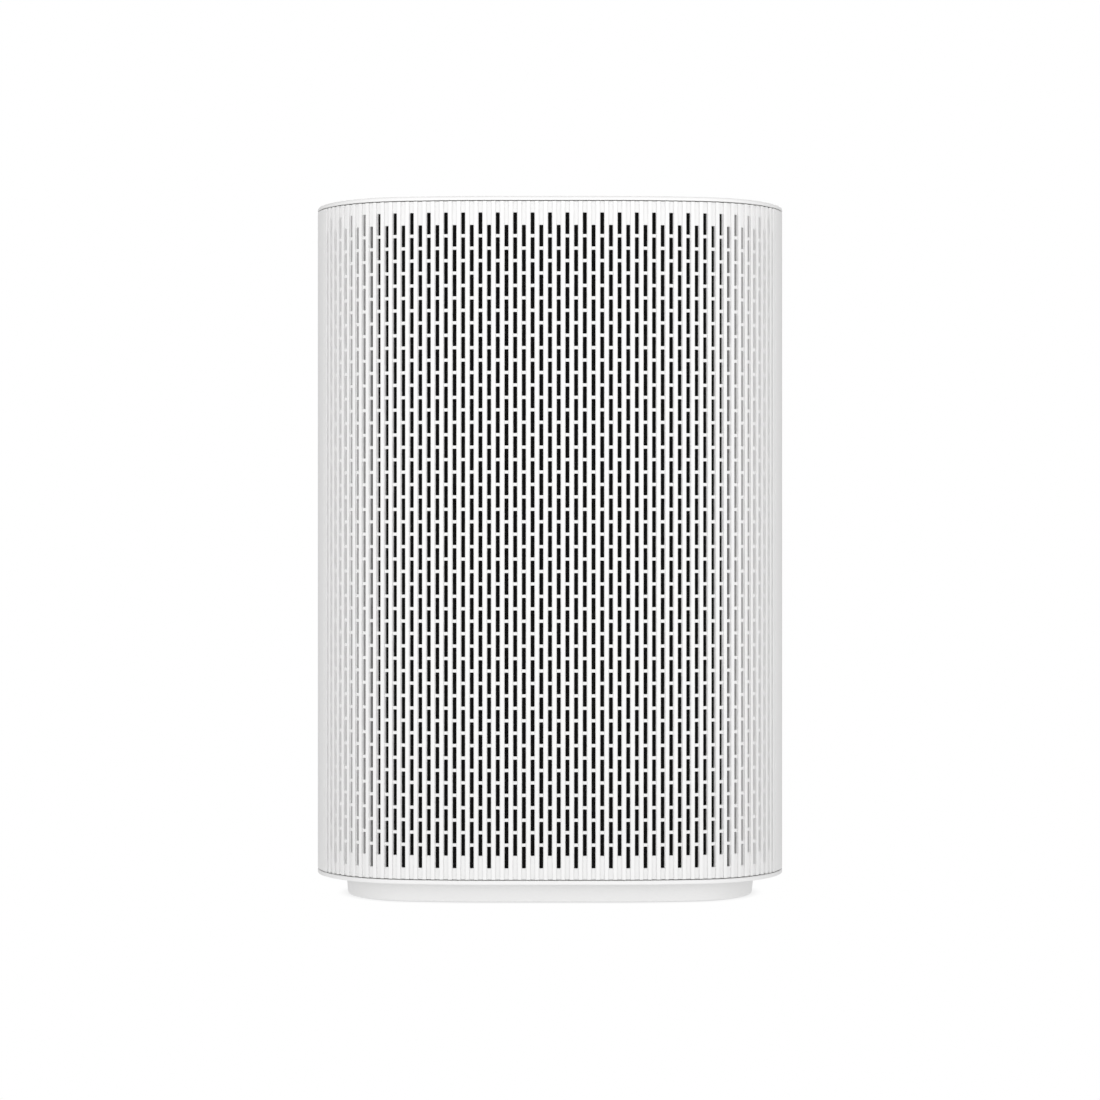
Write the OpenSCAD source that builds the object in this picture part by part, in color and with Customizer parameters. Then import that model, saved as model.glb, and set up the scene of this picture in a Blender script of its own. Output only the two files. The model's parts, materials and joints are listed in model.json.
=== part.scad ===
// Air purifier: an oval cabinet whose ribbed intake panel pulls off the front, with a cartridge
// filter behind it and a centrifugal fan that blows up through a grille in the top.
// Frame: origin on the floor under the middle of the cabinet, +Z up, intake towards -Y, +X right.
// The cabinet's outline is the same front and back: a flat, a slow front arc, a tight shoulder
// arc and a side arc, each tangent to the next. Places on it are told by the length s from the
// middle of the front and by the inset from the outer skin.

/* [Cabinet] */
// Width over the two sides
body_w = 320; // [267:1:384]
// Depth from front to back
body_d = 167; // [140:1:200]
// Height from the floor to the top
body_h = 471; // [393:1:565]
// Radius of the slow arc on each side of the front's flat
front_r = 320; // [260:1:400]
// Angle that the slow arc turns through
front_turn = 11.2; // [9:0.1:14]
// Radius of the shoulder arc
shoulder_r = 65; // [54:1:78]
// Angle of the outline where the shoulder arc ends
shoulder_turn = 43; // [36:1:50]
// Wall of the rear housing
shell_wall = 3; // [2.5:0.1:4]
// Thickness of the top cover and of the bottom cover at their rims
lip_h = 2.8; // [2.3:0.1:3.6]
// Open joint between neighbouring outer covers
seam = 0.6; // [0.4:0.1:1.2]
// Chamfer round the top cover's edge
top_chamfer = 1.5; // [0.5:0.1:2]

/* [Intake panel] */
// Angle of the outline where the panel meets the rear housing
parting_turn = 67; // [58:1:75]
// Ribs across the panel, an even number
ribs = 60; // [50:2:72]
// Wall of the panel over a rib
panel_wall = 3.5; // [2.9:0.1:4.5]
// Width of a groove between two ribs
groove_w = 3.2; // [2.7:0.1:3.8]
// Depth of a groove
groove_d = 1.4; // [1.1:0.1:2]
// Width of a slot in a groove's floor
slot_w = 2.6; // [2.1:0.1:3]
// Height of one moulded slot
slot_h = 14.5; // [12:0.5:18]
// Bridge between two slots in one groove
bridge_h = 2; // [1.6:0.1:3]
// Slots joined into one opening in this plain model
slots_joined = 4; // [2:1:13]
// Plain band under the lowest slot
plain_band = 7.2; // [6:0.1:12]
// Width of the stiffening flange along the panel's top and bottom
flange_w = 4.5; // [3.5:0.1:6]
// Height of that flange
flange_h = 4.5; // [4:0.1:6]

/* [Base] */
// Height of the base under the bottom cover
base_h = 14.2; // [11.8:0.1:17]
// Inset of the base's upper edge from the cabinet's skin
base_inset = 19.5; // [16:0.5:24]
// Inward slope of the base's skirt over its height
base_taper = 1.3; // [0.5:0.1:3]
// Wall of the base
base_wall = 2.4; // [2:0.1:3]
// Radius of a rubber foot
foot_r = 8; // [6.5:0.5:10]
// Height of a foot below the base
foot_out = 0.5; // [0.4:0.1:1]

/* [Filter] */
// Front-to-back depth of the filter cartridge
filter_d = 40; // [33:1:48]
// Room between the panel's inner face and the filter
plenum_d = 16; // [13:1:19]
// Clearance round the filter in its bay
filter_clear = 1; // [0.8:0.1:1.5]
// Wall of the filter bay
bay_wall = 2; // [1.6:0.1:2.5]
// Wall of the filter's frame
frame_wall = 3; // [2.5:0.1:4]
// Width of one pleat
pleat_w = 5; // [4:0.5:7]
// Depth of the pleats
pleat_d = 24; // [20:1:27]

/* [Fan] */
// Thickness of the chassis plate between the filter and the fan
chassis_wall = 2.4; // [2:0.1:3]
// Wall of the scroll housing
scroll_wall = 2.4; // [2:0.1:3]
// Growth of the scroll from its tongue to its outlet
scroll_growth = 38; // [30:1:44]
// Gap between the impeller and the scroll's tongue
tongue_gap = 8; // [6:0.5:10]
// Blades of the impeller
blades = 11; // [7:1:15]
// Radius of the motor can
motor_r = 38; // [32:1:44]
// Depth of the motor can
motor_d = 26; // [24:1:30]
// Radius of the rotor shaft
shaft_r = 4; // [3.4:0.1:5]
// Radial running clearance of the shaft
shaft_clear = 0.05; // [0.02:0.01:0.09]

/* [Controls] */
// Buttons on the top
buttons = 4; // [3:1:5]
// Radius of a button
button_r = 7; // [5.9:0.1:8.4]
// Travel of a button
button_travel = 1; // [0.8:0.1:1.2]
// Gap round a button
button_gap = 0.35; // [0.3:0.05:0.6]
// Distance between two buttons
button_pitch = 26; // [22:1:31]

/* [Rear] */
// Width of the carrying recess
handle_w = 110; // [92:1:130]
// Height of the carrying recess's mouth
handle_h = 34; // [29:1:41]
// Depth of the carrying recess
handle_d = 22; // [19:0.5:22]
// Width of the power inlet's cavity
inlet_w = 17; // [15:0.5:19]
// Height of the power inlet's cavity
inlet_h = 9; // [8:0.5:10]

/* [Fasteners] */
// Radius of a screw's thread
screw_r = 1.5; // [1.3:0.1:1.8]
// Radius of a screw's head
screw_head_r = 3; // [2.6:0.1:3.6]
// Height of a screw's head
screw_head_h = 2; // [1.7:0.1:2.4]
// Gap between a screw and its pilot hole
pilot_gap = 0.05; // [0.03:0.01:0.1]

/* [Hidden] */
$fn = 48;
PI_DEG = 180 / PI;
eps = 0.01;
far = 2 * (body_w + body_d + body_h);

// Outline
side_r = (body_d / 2 - front_r * (1 - cos(front_turn))
    - shoulder_r * (cos(front_turn) - cos(shoulder_turn))) / cos(shoulder_turn);
flat_half = body_w / 2 - front_r * sin(front_turn)
    - shoulder_r * (sin(shoulder_turn) - sin(front_turn)) - side_r * (1 - sin(shoulder_turn));
front_centre = [flat_half, front_r - body_d / 2];
shoulder_centre = front_centre + (front_r - shoulder_r) * outward(front_turn);
side_centre = [body_w / 2 - side_r, 0];
front_s = flat_half + front_r * front_turn / PI_DEG;
shoulder_s = front_s + shoulder_r * (shoulder_turn - front_turn) / PI_DEG;
side_s = shoulder_s + side_r * (90 - shoulder_turn) / PI_DEG;
parting_s = shoulder_s + side_r * (parting_turn - shoulder_turn) / PI_DEG;
half_ribs = floor(ribs / 2);
rib_pitch = parting_s / half_ribs;
side_steps = 7;

// Heights
lip_z = base_h + lip_h;
panel_z0 = lip_z + seam;
cover_z = body_h - lip_h;
panel_z1 = cover_z - seam;
panel_h = panel_z1 - panel_z0;
slot_pitch = slot_h + bridge_h;
slot_rows = floor((panel_h - 2 * plain_band - slot_pitch / 2 + bridge_h) / slot_pitch);
slot_field_h = slot_rows * slot_pitch - bridge_h + slot_pitch / 2;
slot_z0 = panel_z0 + (panel_h - slot_field_h) / 2;

// Depths, in a chain from the front to the back
front_y = -body_d / 2;
panel_back_y = front_y + panel_wall;
filter_y0 = panel_back_y + plenum_d;
filter_y1 = filter_y0 + filter_d;
seal_d = 1.7;
seal_gap = 0.3;
chassis_y0 = filter_y1 + seal_d + seal_gap;
chassis_y1 = chassis_y0 + chassis_wall;
rear_inner_y = body_d / 2 - shell_wall;
motor_gap = 13;
grommet_h = 1;
flange_t = 2;
scroll_y1 = rear_inner_y - motor_gap - motor_d - flange_t - grommet_h;
scroll_y0 = scroll_y1 - scroll_wall;
parting_y = point_at(parting_s, 0)[1];

// Covers' spigots, which reach inside the shells
spigot_inset = panel_wall + flange_w + 1;
spigot_t = 2;
spigot_h = 8;
chassis_inset = 6.4;

// Filter bay
bay_half = outline_x(filter_y0, spigot_inset) - 0.5;
filter_half = bay_half - bay_wall - filter_clear;
bay_z0 = lip_z + spigot_h + 22;
bay_z1 = cover_z - spigot_h - 32;
filter_z0 = bay_z0 + bay_wall + filter_clear;
filter_z1 = bay_z1 - bay_wall - filter_clear;

// Bosses on the rear housing's sides, which the chassis is screwed to
side_boss_r = 4.6;
chassis_half = outline_x(chassis_y0, chassis_inset);
side_boss_x = chassis_half - side_boss_r - 1.9;

// Fan
scroll_end_r = side_boss_x - side_boss_r - 1 - scroll_wall;
tongue_r = scroll_end_r - scroll_growth;
tongue_at = 70;
impeller_r = tongue_r - tongue_gap;
eye_r = impeller_r - 26;
bell_gap = 3.5;
bell_reach = 3;
bell_r = eye_r - bell_gap;
bell_flare = 12;
chassis_hole_r = bell_r + bell_flare;
power_room = 44;
fan_z = lip_z + power_room + scroll_wall + scroll_radius(270);
duct_z0 = cover_z - 30;
outlet_half = scroll_end_r - 28;
outlet_back_y = scroll_y1 + 14;
impeller_y0 = chassis_y1 + bell_flare - bell_reach;
impeller_y1 = scroll_y0 - 8;
motor_y0 = scroll_y1 + grommet_h;
motor_y1 = motor_y0 + flange_t + motor_d;
motor_flange_r = motor_r + 8;
motor_screw_r = motor_r + 4;
can_wall = 1.6;
bearing_r = 9;
bearing_d = 5;
bearing_y0 = motor_y0 + flange_t + 1;
bearing_y1 = motor_y1 - can_wall - bearing_d;
shaft_y1 = bearing_y1 + bearing_d;

// Controls, in a strip near the front of the top
strip_y0 = front_y + 18;
strip_y1 = strip_y0 + 30;
strip_half = button_pitch * (buttons - 1) / 2 + button_r + 14;
strip_t = 2;
strip_gap = 0.3;
strip_ledge = 2;
strip_y = (strip_y0 + strip_y1) / 2;
board_t = 1.6;
board_z0 = cover_z - 12;
switch_h = 3.5;
plunger_h = 0.8;
stem_r = 2;
stem_gap = button_travel + 0.4;
stem_z0 = board_z0 + board_t + switch_h + plunger_h + stem_gap;
cap_h = 3.4;

// Air outlet in the top
outlet_y0 = strip_y1 + 14;
outlet_y1 = outlet_back_y - 4;
louvre_t = 1.6;
louvre_pitch = 5.2;
louvre_h = 7;
grille_frame = 3;
grille_gap = 0.3;

// Rear
handle_z1 = cover_z - 38;
handle_z0 = handle_z1 - handle_h;
handle_undercut = 10;
cup_wall = 2;
cup_front_y = outline_y_back(handle_w / 2 + cup_wall, shell_wall) - 0.4;
inlet_z = lip_z + 20;
inlet_wall = 2.4;
inlet_depth = 14;
inlet_flange = 3;
inlet_gap = 0.3;
inlet_face_y = body_d / 2 - 1;
pin_r = 1.18;
pin_pitch = 8.6;
sensor_z = handle_z0 - 58;
sensor_w = 36;
sensor_h = 26;
sensor_d = 12;
vent_slots = 8;
vent_pitch = 4;

// Fixings
side_boss_z = [bay_z0 - 10, (bay_z0 + bay_z1) / 2, bay_z1 + 12];
side_boss_d = 24;
lug_r = 4.6;
lug_h = 4;
lug_z = cover_z - 20;
low_lug_z = lip_z + spigot_h + 2;
lug_at = [for (y = [chassis_y1 + lug_r + 1.5, 40])
    [outline_x(y, spigot_inset + spigot_t) - lug_r - 1.5, y]];
magnet_w = 14;
magnet_t = 2.3;
magnet_h = 3;
magnet_x = 24;
strike_t = 1.2;
foot_x = body_w / 2 - base_inset - 40;
foot_y = body_d / 2 - base_inset - 24;
foot_in = 2;
base_screw_x = foot_x - 28;

// ---- Outline functions -------------------------------------------------------------------

// Unit vector out of the skin where the outline has turned by the angle a
function outward(a) = [sin(a), -cos(a)];
// Angle that the outline has turned through at the length s
function turn_at(s) =
    s <= flat_half ? 0
    : s <= front_s ? (s - flat_half) * PI_DEG / front_r
    : s <= shoulder_s ? front_turn + (s - front_s) * PI_DEG / shoulder_r
    : shoulder_turn + (s - shoulder_s) * PI_DEG / side_r;
// Point on the front right quarter, at the length s and an inset
function point_at(s, inset) =
    s <= flat_half ? [s, inset - body_d / 2]
    : s <= front_s ? front_centre + (front_r - inset) * outward(turn_at(s))
    : s <= shoulder_s ? shoulder_centre + (shoulder_r - inset) * outward(turn_at(s))
    : side_centre + (side_r - inset) * outward(turn_at(s));
// The same on either half of the front: s is negative on the left
function signed_turn(s) = s < 0 ? -turn_at(-s) : turn_at(s);
function signed_point(s, inset) = let (p = point_at(abs(s), inset)) [s < 0 ? -p[0] : p[0], p[1]];
// Lengths at which the outline has its corners: one in the middle of each rib, then the side
quarter_s = concat([for (i = [0:half_ribs - 1]) (i + 0.5) * rib_pitch],
    [for (j = [0:side_steps]) parting_s + (side_s - parting_s) * j / side_steps]);
function outline_points(inset) =
    let (q = [for (s = quarter_s) point_at(s, inset)], n = len(q))
    concat(q, [for (i = [n - 2:-1:0]) [q[i][0], -q[i][1]]],
        [for (i = [0:n - 1]) [-q[i][0], -q[i][1]]], [for (i = [n - 2:-1:0]) [-q[i][0], q[i][1]]]);
// Half-width of the inset outline at a depth y on the side or shoulder arc
function outline_x(y, inset) =
    abs(y) <= (side_r - inset) * cos(shoulder_turn)
    ? side_centre[0] + sqrt(pow(side_r - inset, 2) - y * y)
    : shoulder_centre[0] + sqrt(pow(shoulder_r - inset, 2) - pow(-abs(y) - shoulder_centre[1], 2));
// Depth of the back's inner face at a width x on the flat or the slow arc
function outline_y_back(x, inset) =
    x <= flat_half ? body_d / 2 - inset
    : sqrt(pow(front_r - inset, 2) - pow(x - flat_half, 2)) - front_centre[1];
// Radius of the scroll's inner wall at an angle counted anticlockwise from +X
function scroll_radius(a) = tongue_r + scroll_growth * (a - tongue_at) / (360 - tongue_at);

// ---- Shared shapes -----------------------------------------------------------------------

module outline(inset) polygon(outline_points(inset));
module ring(outer, inner) difference() {
    outline(outer);
    outline(inner);
}
// The part of a plan that lies in front of, or behind, a plane at the depth y
module ahead_of(y) intersection() {
    children();
    translate([-far / 2, y - far]) square(far);
}
module behind(y) intersection() {
    children();
    translate([-far / 2, y]) square(far);
}
// A straight cylinder along Y, from y0 to y1
module rod_y(r, y0, y1) translate([0, y0, 0]) rotate([-90, 0, 0]) cylinder(r = r, h = y1 - y0);
module tube_y(r, hole, y0, y1) difference() {
    rod_y(r, y0, y1);
    rod_y(hole, y0 - 1, y1 + 1);
}
// A plan in X and Z, standing on the depth y0 and reaching to y1
module slab_y(y0, y1) translate([0, y1, 0]) rotate([90, 0, 0]) linear_extrude(y1 - y0) children();
module box(low, high) translate(low) cube(high - low);
// A screw with its head's underside at the origin and its thread along -Z
module screw(length) {
    translate([0, 0, -length]) cylinder(r = screw_r, h = length + eps);
    cylinder(r = screw_head_r, h = screw_head_h);
}
module mirrored_x() {
    children();
    mirror([1, 0, 0]) children();
}
module at_lugs(z) mirrored_x() for (p = lug_at) translate([p[0], p[1], z]) children();
module mirrored_y() {
    children();
    mirror([0, 1, 0]) children();
}

// ---- Intake panel ------------------------------------------------------------------------

// The four corners of the groove in rib gap k, left to right
function groove_corners(k) =
    let (s = k * rib_pitch, a = signed_turn(s), c = signed_point(s, 0),
        along = [cos(a), sin(a)] * groove_w / 2, down = -outward(a) * groove_d)
    [c - along, c - along + down, c + along + down, c + along];
panel_columns = [for (k = [-half_ribs + 1:half_ribs - 1]) k];
module panel_plan() ahead_of(parting_y - seam / 2) polygon(concat(
    [signed_point(-parting_s - 2, 0)],
    [for (k = panel_columns) each groove_corners(k)],
    [signed_point(parting_s + 2, 0)],
    [signed_point(parting_s + 2, panel_wall)],
    [for (k = [half_ribs - 1:-1:-half_ribs]) signed_point((k + 0.5) * rib_pitch, panel_wall)],
    [signed_point(-parting_s - 2, panel_wall)]));
// Openings of column k; every other column is shifted up by half a pitch
module slot_column(k) {
    s = k * rib_pitch;
    p = signed_point(s, panel_wall / 2);
    shift = abs(k) % 2 == 1 ? 0 : slot_pitch / 2;
    for (row = [0:slots_joined:slot_rows - 1]) {
        joined = min(slots_joined, slot_rows - row);
        translate([p[0], p[1], slot_z0 + shift + row * slot_pitch]) rotate(signed_turn(s))
            translate([-slot_w / 2, -panel_wall, 0])
                cube([slot_w, 2 * panel_wall, joined * slot_pitch - bridge_h]);
    }
}
module panel_flange(z0) translate([0, 0, z0]) linear_extrude(flange_h)
    ahead_of(parting_y - 8) ring(panel_wall - 0.5, panel_wall + flange_w);
module magnet_place() for (x = [-magnet_x, magnet_x])
    for (z = [panel_z0 + flange_h / 2, panel_z1 - flange_h / 2]) translate([x, 0, z]) children();
module front_panel() color("whitesmoke") difference() {
    union() {
        difference() {
            translate([0, 0, panel_z0]) linear_extrude(panel_h) panel_plan();
            for (k = panel_columns) slot_column(k);
        }
        panel_flange(panel_z0);
        panel_flange(panel_z1 - flange_h);
    }
    magnet_pockets();
}
module magnet_pockets() magnet_place()
    box([-magnet_w / 2 - 0.1, panel_back_y + flange_w - magnet_t - 0.1, -magnet_h / 2 - 0.1],
        [magnet_w / 2 + 0.1, panel_back_y + flange_w + 1, magnet_h / 2 + 0.1]);
module panel_magnets() color("dimgray") magnet_place()
    box([-magnet_w / 2, panel_back_y + flange_w - magnet_t, -magnet_h / 2],
        [magnet_w / 2, panel_back_y + flange_w, magnet_h / 2]);

mesh_inset = panel_wall + 0.3;
mesh_t = 0.7;
mesh_z0 = panel_z0 + flange_h + 0.5;
mesh_z1 = panel_z1 - flange_h - 0.5;
mesh_end_y = parting_y - 8;
band_h = 6;
module prefilter_mesh() color([0.08, 0.08, 0.08]) translate([0, 0, mesh_z0])
    linear_extrude(mesh_z1 - mesh_z0) ahead_of(mesh_end_y) ring(mesh_inset, mesh_inset + mesh_t);
prefilter_bars = 5;
module prefilter_frame() color([0.12, 0.12, 0.13]) intersection() {
    translate([0, 0, mesh_z0]) linear_extrude(mesh_z1 - mesh_z0) ahead_of(mesh_end_y)
        ring(mesh_inset + mesh_t, mesh_inset + mesh_t + 1.4);
    union() {
        for (i = [0:3]) {
            z = mesh_z0 + i * (mesh_z1 - mesh_z0 - band_h) / 3;
            box([-body_w, -body_d, z], [body_w, 0, z + band_h]);
        }
        for (i = [0:prefilter_bars - 1]) {
            x = (i - (prefilter_bars - 1) / 2) * bay_half / 3;
            box([x - 1.5, -body_d, 0], [x + 1.5, 0, body_h]);
        }
        mirrored_x() box([outline_x(mesh_end_y, mesh_inset) - 9, -body_d, 0], [body_w, 0, body_h]);
    }
}

// ---- Filter cartridge --------------------------------------------------------------------

pleats = floor((2 * (filter_half - frame_wall) - 1) / pleat_w);
pleat_t = 0.6;
pleat_y0 = filter_y0 + 4;
carbon_y0 = pleat_y0 + pleat_d + 2;
carbon_d = filter_y1 - carbon_y0 - 2;
module filter_frame() color("gainsboro") difference() {
    box([-filter_half, filter_y0, filter_z0], [filter_half, filter_y1, filter_z1]);
    box([-filter_half + frame_wall, filter_y0 - 1, filter_z0 + frame_wall],
        [filter_half - frame_wall, filter_y1 + 1, filter_z1 - frame_wall]);
}
// A zigzag sheet: the front edge runs left to right and the back edge runs home
function zigzag(i) = [(i - pleats) * pleat_w / 2, pleat_y0 + (i % 2) * (pleat_d - 2 * pleat_t)];
module filter_pleats() color("white") translate([0, 0, filter_z0 + frame_wall])
    linear_extrude(filter_z1 - filter_z0 - 2 * frame_wall) polygon(concat(
        [for (i = [0:2 * pleats]) zigzag(i)],
        [for (i = [2 * pleats:-1:0]) zigzag(i) + [0, 2 * pleat_t]]));
module carbon_layer() color([0.1, 0.1, 0.1])
    box([-filter_half + frame_wall, carbon_y0, filter_z0 + frame_wall],
        [filter_half - frame_wall, carbon_y0 + carbon_d, filter_z1 - frame_wall]);
module filter_seal() color("darkgray") difference() {
    box([-filter_half, filter_y1, filter_z0], [filter_half, filter_y1 + seal_d, filter_z1]);
    box([-filter_half + 8, filter_y1 - 1, filter_z0 + 8],
        [filter_half - 8, filter_y1 + seal_d + 1, filter_z1 - 8]);
}
tab_w = 30;
tab_h = 46;
module filter_pull_tab() color("lightgray") {
    box([-tab_w / 2, filter_y0 - 0.8, filter_z1 - tab_h], [tab_w / 2, filter_y0, filter_z1 - 0.5]);
    slab_y(filter_y0 - 6, filter_y0 - 0.8) difference() {
        translate([-tab_w / 2, filter_z1 - tab_h]) square([tab_w, 3]);
        translate([-tab_w / 4, filter_z1 - tab_h + 1]) square([tab_w / 2, 1]);
    }
}

// ---- Shells and covers -------------------------------------------------------------------

module rear_housing() color("whitesmoke") difference() {
    union() {
        translate([0, 0, panel_z0]) linear_extrude(panel_h) {
            behind(parting_y + seam / 2) ring(0, shell_wall);
            ahead_of(parting_y + 7) behind(parting_y + seam / 2) ring(shell_wall - 0.5, chassis_inset - 0.5);
            ahead_of(parting_y + 1.5) behind(parting_y - 5) ring(panel_wall + 0.5, chassis_inset - 0.5);
        }
        intersection() {
            linear_extrude(body_h) outline(1);
            housing_fixings();
        }
    }
    housing_pilots();
    box([-handle_w / 2, rear_inner_y - 4, handle_z0], [handle_w / 2, body_d, handle_z1]);
    inlet_block(inlet_gap, rear_inner_y - 4, body_d);
    for (i = [0:vent_slots - 1]) {
        x = (i - (vent_slots - 1) / 2) * vent_pitch;
        box([x - 0.9, rear_inner_y - 4, sensor_z - 9], [x + 0.9, body_d, sensor_z + 9]);
    }
}
module housing_fixings() {
    mirrored_x() for (z = side_boss_z) {
        translate([side_boss_x, 0, z]) rod_y(side_boss_r, chassis_y1 + 0.2, chassis_y1 + side_boss_d);
        box([side_boss_x, chassis_y1 + 0.2, z - 2], [body_w, chassis_y1 + side_boss_d, z + 2]);
    }
    for (z = [lug_z, low_lug_z]) mirrored_x() for (p = lug_at) {
        translate([p[0], p[1], z]) cylinder(r = lug_r, h = lug_h);
        box([p[0], p[1] - 3, z], [body_w, p[1] + 3, z + lug_h]);
    }
}
module housing_pilots() {
    mirrored_x() for (z = side_boss_z)
        translate([side_boss_x, 0, z]) rod_y(screw_r + pilot_gap, chassis_y1, chassis_y1 + 16);
    at_lugs(lug_z - 1) cylinder(r = screw_r + 0.3, h = lug_h + 2);
    at_lugs(low_lug_z - 1) cylinder(r = screw_r + pilot_gap, h = lug_h + 2);
}
module inlet_block(grow, y0, y1)
    box([-inlet_w / 2 - inlet_wall - grow, y0, inlet_z - inlet_h / 2 - inlet_wall - grow],
        [inlet_w / 2 + inlet_wall + grow, y1, inlet_z + inlet_h / 2 + inlet_wall + grow]);

cover_boss_z = lug_z + lug_h + 0.2;
module top_cover() color("whitesmoke") difference() {
    union() {
        translate([0, 0, cover_z]) linear_extrude(lip_h - top_chamfer) outline(0);
        hull() {
            translate([0, 0, body_h - top_chamfer - eps]) linear_extrude(eps) outline(0);
            translate([0, 0, body_h - eps]) linear_extrude(eps) outline(top_chamfer);
        }
        translate([0, 0, cover_z - spigot_h]) linear_extrude(spigot_h + 1)
            ring(spigot_inset, spigot_inset + spigot_t);
        at_lugs(cover_boss_z) cylinder(r = lug_r, h = cover_z - cover_boss_z + 1);
    }
    at_lugs(cover_boss_z - 1) cylinder(r = screw_r + pilot_gap, h = 14);
    box([-strip_half, strip_y0, body_h - strip_t], [strip_half, strip_y1, body_h + 1]);
    box([-strip_half + strip_ledge, strip_y0 + strip_ledge, cover_z - 1],
        [strip_half - strip_ledge, strip_y1 - strip_ledge, body_h]);
    box([-outlet_half, outlet_y0, cover_z - 1], [outlet_half, outlet_y1, body_h + 1]);
    strike_pockets(cover_z - seam - flange_h / 2);
}
module strike_pockets(z) for (x = [-magnet_x, magnet_x])
    box([x - magnet_w / 2, -body_d, z - magnet_h / 2],
        [x + magnet_w / 2, front_y + spigot_inset + strike_t, z + magnet_h / 2]);
module strike_plates() color("silver")
    for (z = [cover_z - seam - flange_h / 2, lip_z + seam + flange_h / 2], x = [-magnet_x, magnet_x])
        box([x - magnet_w / 2 + 0.1, front_y + spigot_inset, z - magnet_h / 2 + 0.1],
            [x + magnet_w / 2 - 0.1, front_y + spigot_inset + strike_t - 0.1, z + magnet_h / 2 - 0.1]);
module bottom_cover() color("whitesmoke") difference() {
    union() {
        translate([0, 0, base_h]) linear_extrude(lip_h) outline(0);
        translate([0, 0, lip_z - 1]) linear_extrude(spigot_h + 1)
            ring(spigot_inset, spigot_inset + spigot_t);
        at_lugs(lip_z - 1) cylinder(r = lug_r, h = low_lug_z - lip_z + 0.8);
        mirrored_x() mirrored_y() translate([base_screw_x, foot_y, lip_z - 1]) cylinder(r = 4, h = 11);
    }
    at_lugs(base_h - 1) {
        cylinder(r = screw_r + 0.3, h = low_lug_z - base_h + 2);
        cylinder(r = screw_head_r + 0.3, h = screw_head_h + 1.2);
    }
    mirrored_x() mirrored_y() translate([base_screw_x, foot_y, base_h - 1])
        cylinder(r = screw_r + pilot_gap, h = 9);
    strike_pockets(lip_z + seam + flange_h / 2);
}

// ---- Base --------------------------------------------------------------------------------

base_z0 = foot_out;
module base_block(shrink, z0, z1) hull() {
    translate([0, 0, z0]) linear_extrude(eps) outline(base_inset + base_taper + shrink);
    translate([0, 0, z1 - eps]) linear_extrude(eps) outline(base_inset + shrink);
}
module base() color("whitesmoke") difference() {
    union() {
        difference() {
            base_block(0, base_z0, base_h);
            base_block(base_wall, base_z0 + base_wall, base_h + 1);
        }
        mirrored_x() mirrored_y() {
            translate([foot_x, foot_y, base_z0 + 1]) cylinder(r = foot_r + 2, h = base_wall + foot_in);
            translate([base_screw_x, foot_y, base_z0 + 1]) cylinder(r = 5, h = base_h - base_z0 - 1);
        }
    }
    mirrored_x() mirrored_y() {
        translate([foot_x, foot_y, 0]) cylinder(r = foot_r, h = base_z0 + foot_in);
        translate([base_screw_x, foot_y, 0]) cylinder(r = screw_r + 0.3, h = base_h + 1);
        translate([base_screw_x, foot_y, 0]) cylinder(r = screw_head_r + 0.5, h = base_screw_z);
    }
}
base_screw_z = base_z0 + 5;
module rubber_feet() color([0.2, 0.2, 0.2]) mirrored_x() mirrored_y()
    translate([foot_x, foot_y, 0]) cylinder(r = foot_r, h = base_z0 + foot_in);

// ---- Air outlet and controls -------------------------------------------------------------

grille_half = outlet_half - grille_gap;
grille_y0 = outlet_y0 + grille_gap;
grille_y1 = outlet_y1 - grille_gap;
grille_z1 = body_h - 0.6;
grille_z0 = cover_z - louvre_h;
louvres = floor((grille_y1 - grille_y0 - 2 * grille_frame) / louvre_pitch);
cross_ribs = 5;
module outlet_grille() color("white") {
    difference() {
        box([-grille_half, grille_y0, grille_z0], [grille_half, grille_y1, grille_z1]);
        box([-grille_half + grille_frame, grille_y0 + grille_frame, grille_z0 - 1],
            [grille_half - grille_frame, grille_y1 - grille_frame, grille_z1 + 1]);
    }
    louvre_room = grille_y1 - grille_y0 - 2 * grille_frame;
    for (i = [1:louvres - 1]) {
        y = grille_y0 + grille_frame + i * louvre_room / louvres;
        box([-grille_half + 1, y - louvre_t / 2, grille_z0 + 1],
            [grille_half - 1, y + louvre_t / 2, grille_z1 - 0.4]);
    }
    for (i = [1:cross_ribs - 1]) {
        x = -grille_half + i * 2 * grille_half / cross_ribs;
        box([x - 1, grille_y0 + 1, grille_z0], [x + 1, grille_y1 - 1, grille_z0 + 3]);
    }
}
function button_x(i) = (i - (buttons - 1) / 2) * button_pitch;
light_w = 40;
light_h = 2.4;
light_y = strip_y0 + 5.4;
module control_strip() color("lightgray") difference() {
    union() {
        box([-strip_half + strip_gap, strip_y0 + strip_gap, body_h - strip_t],
            [strip_half - strip_gap, strip_y1 - strip_gap, body_h - 0.3]);
        tongue = strip_ledge + strip_gap;
        box([-strip_half + tongue, strip_y0 + tongue, cover_z - 1],
            [strip_half - tongue, strip_y1 - tongue, body_h - strip_t + eps]);
        mirrored_x() mirrored_strip() box([strip_half - 9, strip_y0 + 5, board_z0 + board_t],
            [strip_half - 5, strip_y0 + 9, cover_z]);
    }
    for (i = [0:buttons - 1]) translate([button_x(i), strip_y + 3, cover_z - 2])
        cylinder(r = button_r + button_gap, h = 10);
    box([-light_w / 2, light_y - light_h / 2, cover_z - 2], [light_w / 2, light_y + light_h / 2, body_h]);
}
module mirrored_strip() {
    children();
    translate([0, 2 * strip_y, 0]) mirror([0, 1, 0]) children();
}
module status_light() color("aquamarine")
    box([-light_w / 2 + 0.1, light_y - light_h / 2 + 0.1, board_z0 + board_t],
        [light_w / 2 - 0.1, light_y + light_h / 2 - 0.1, body_h - 0.4]);
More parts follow.
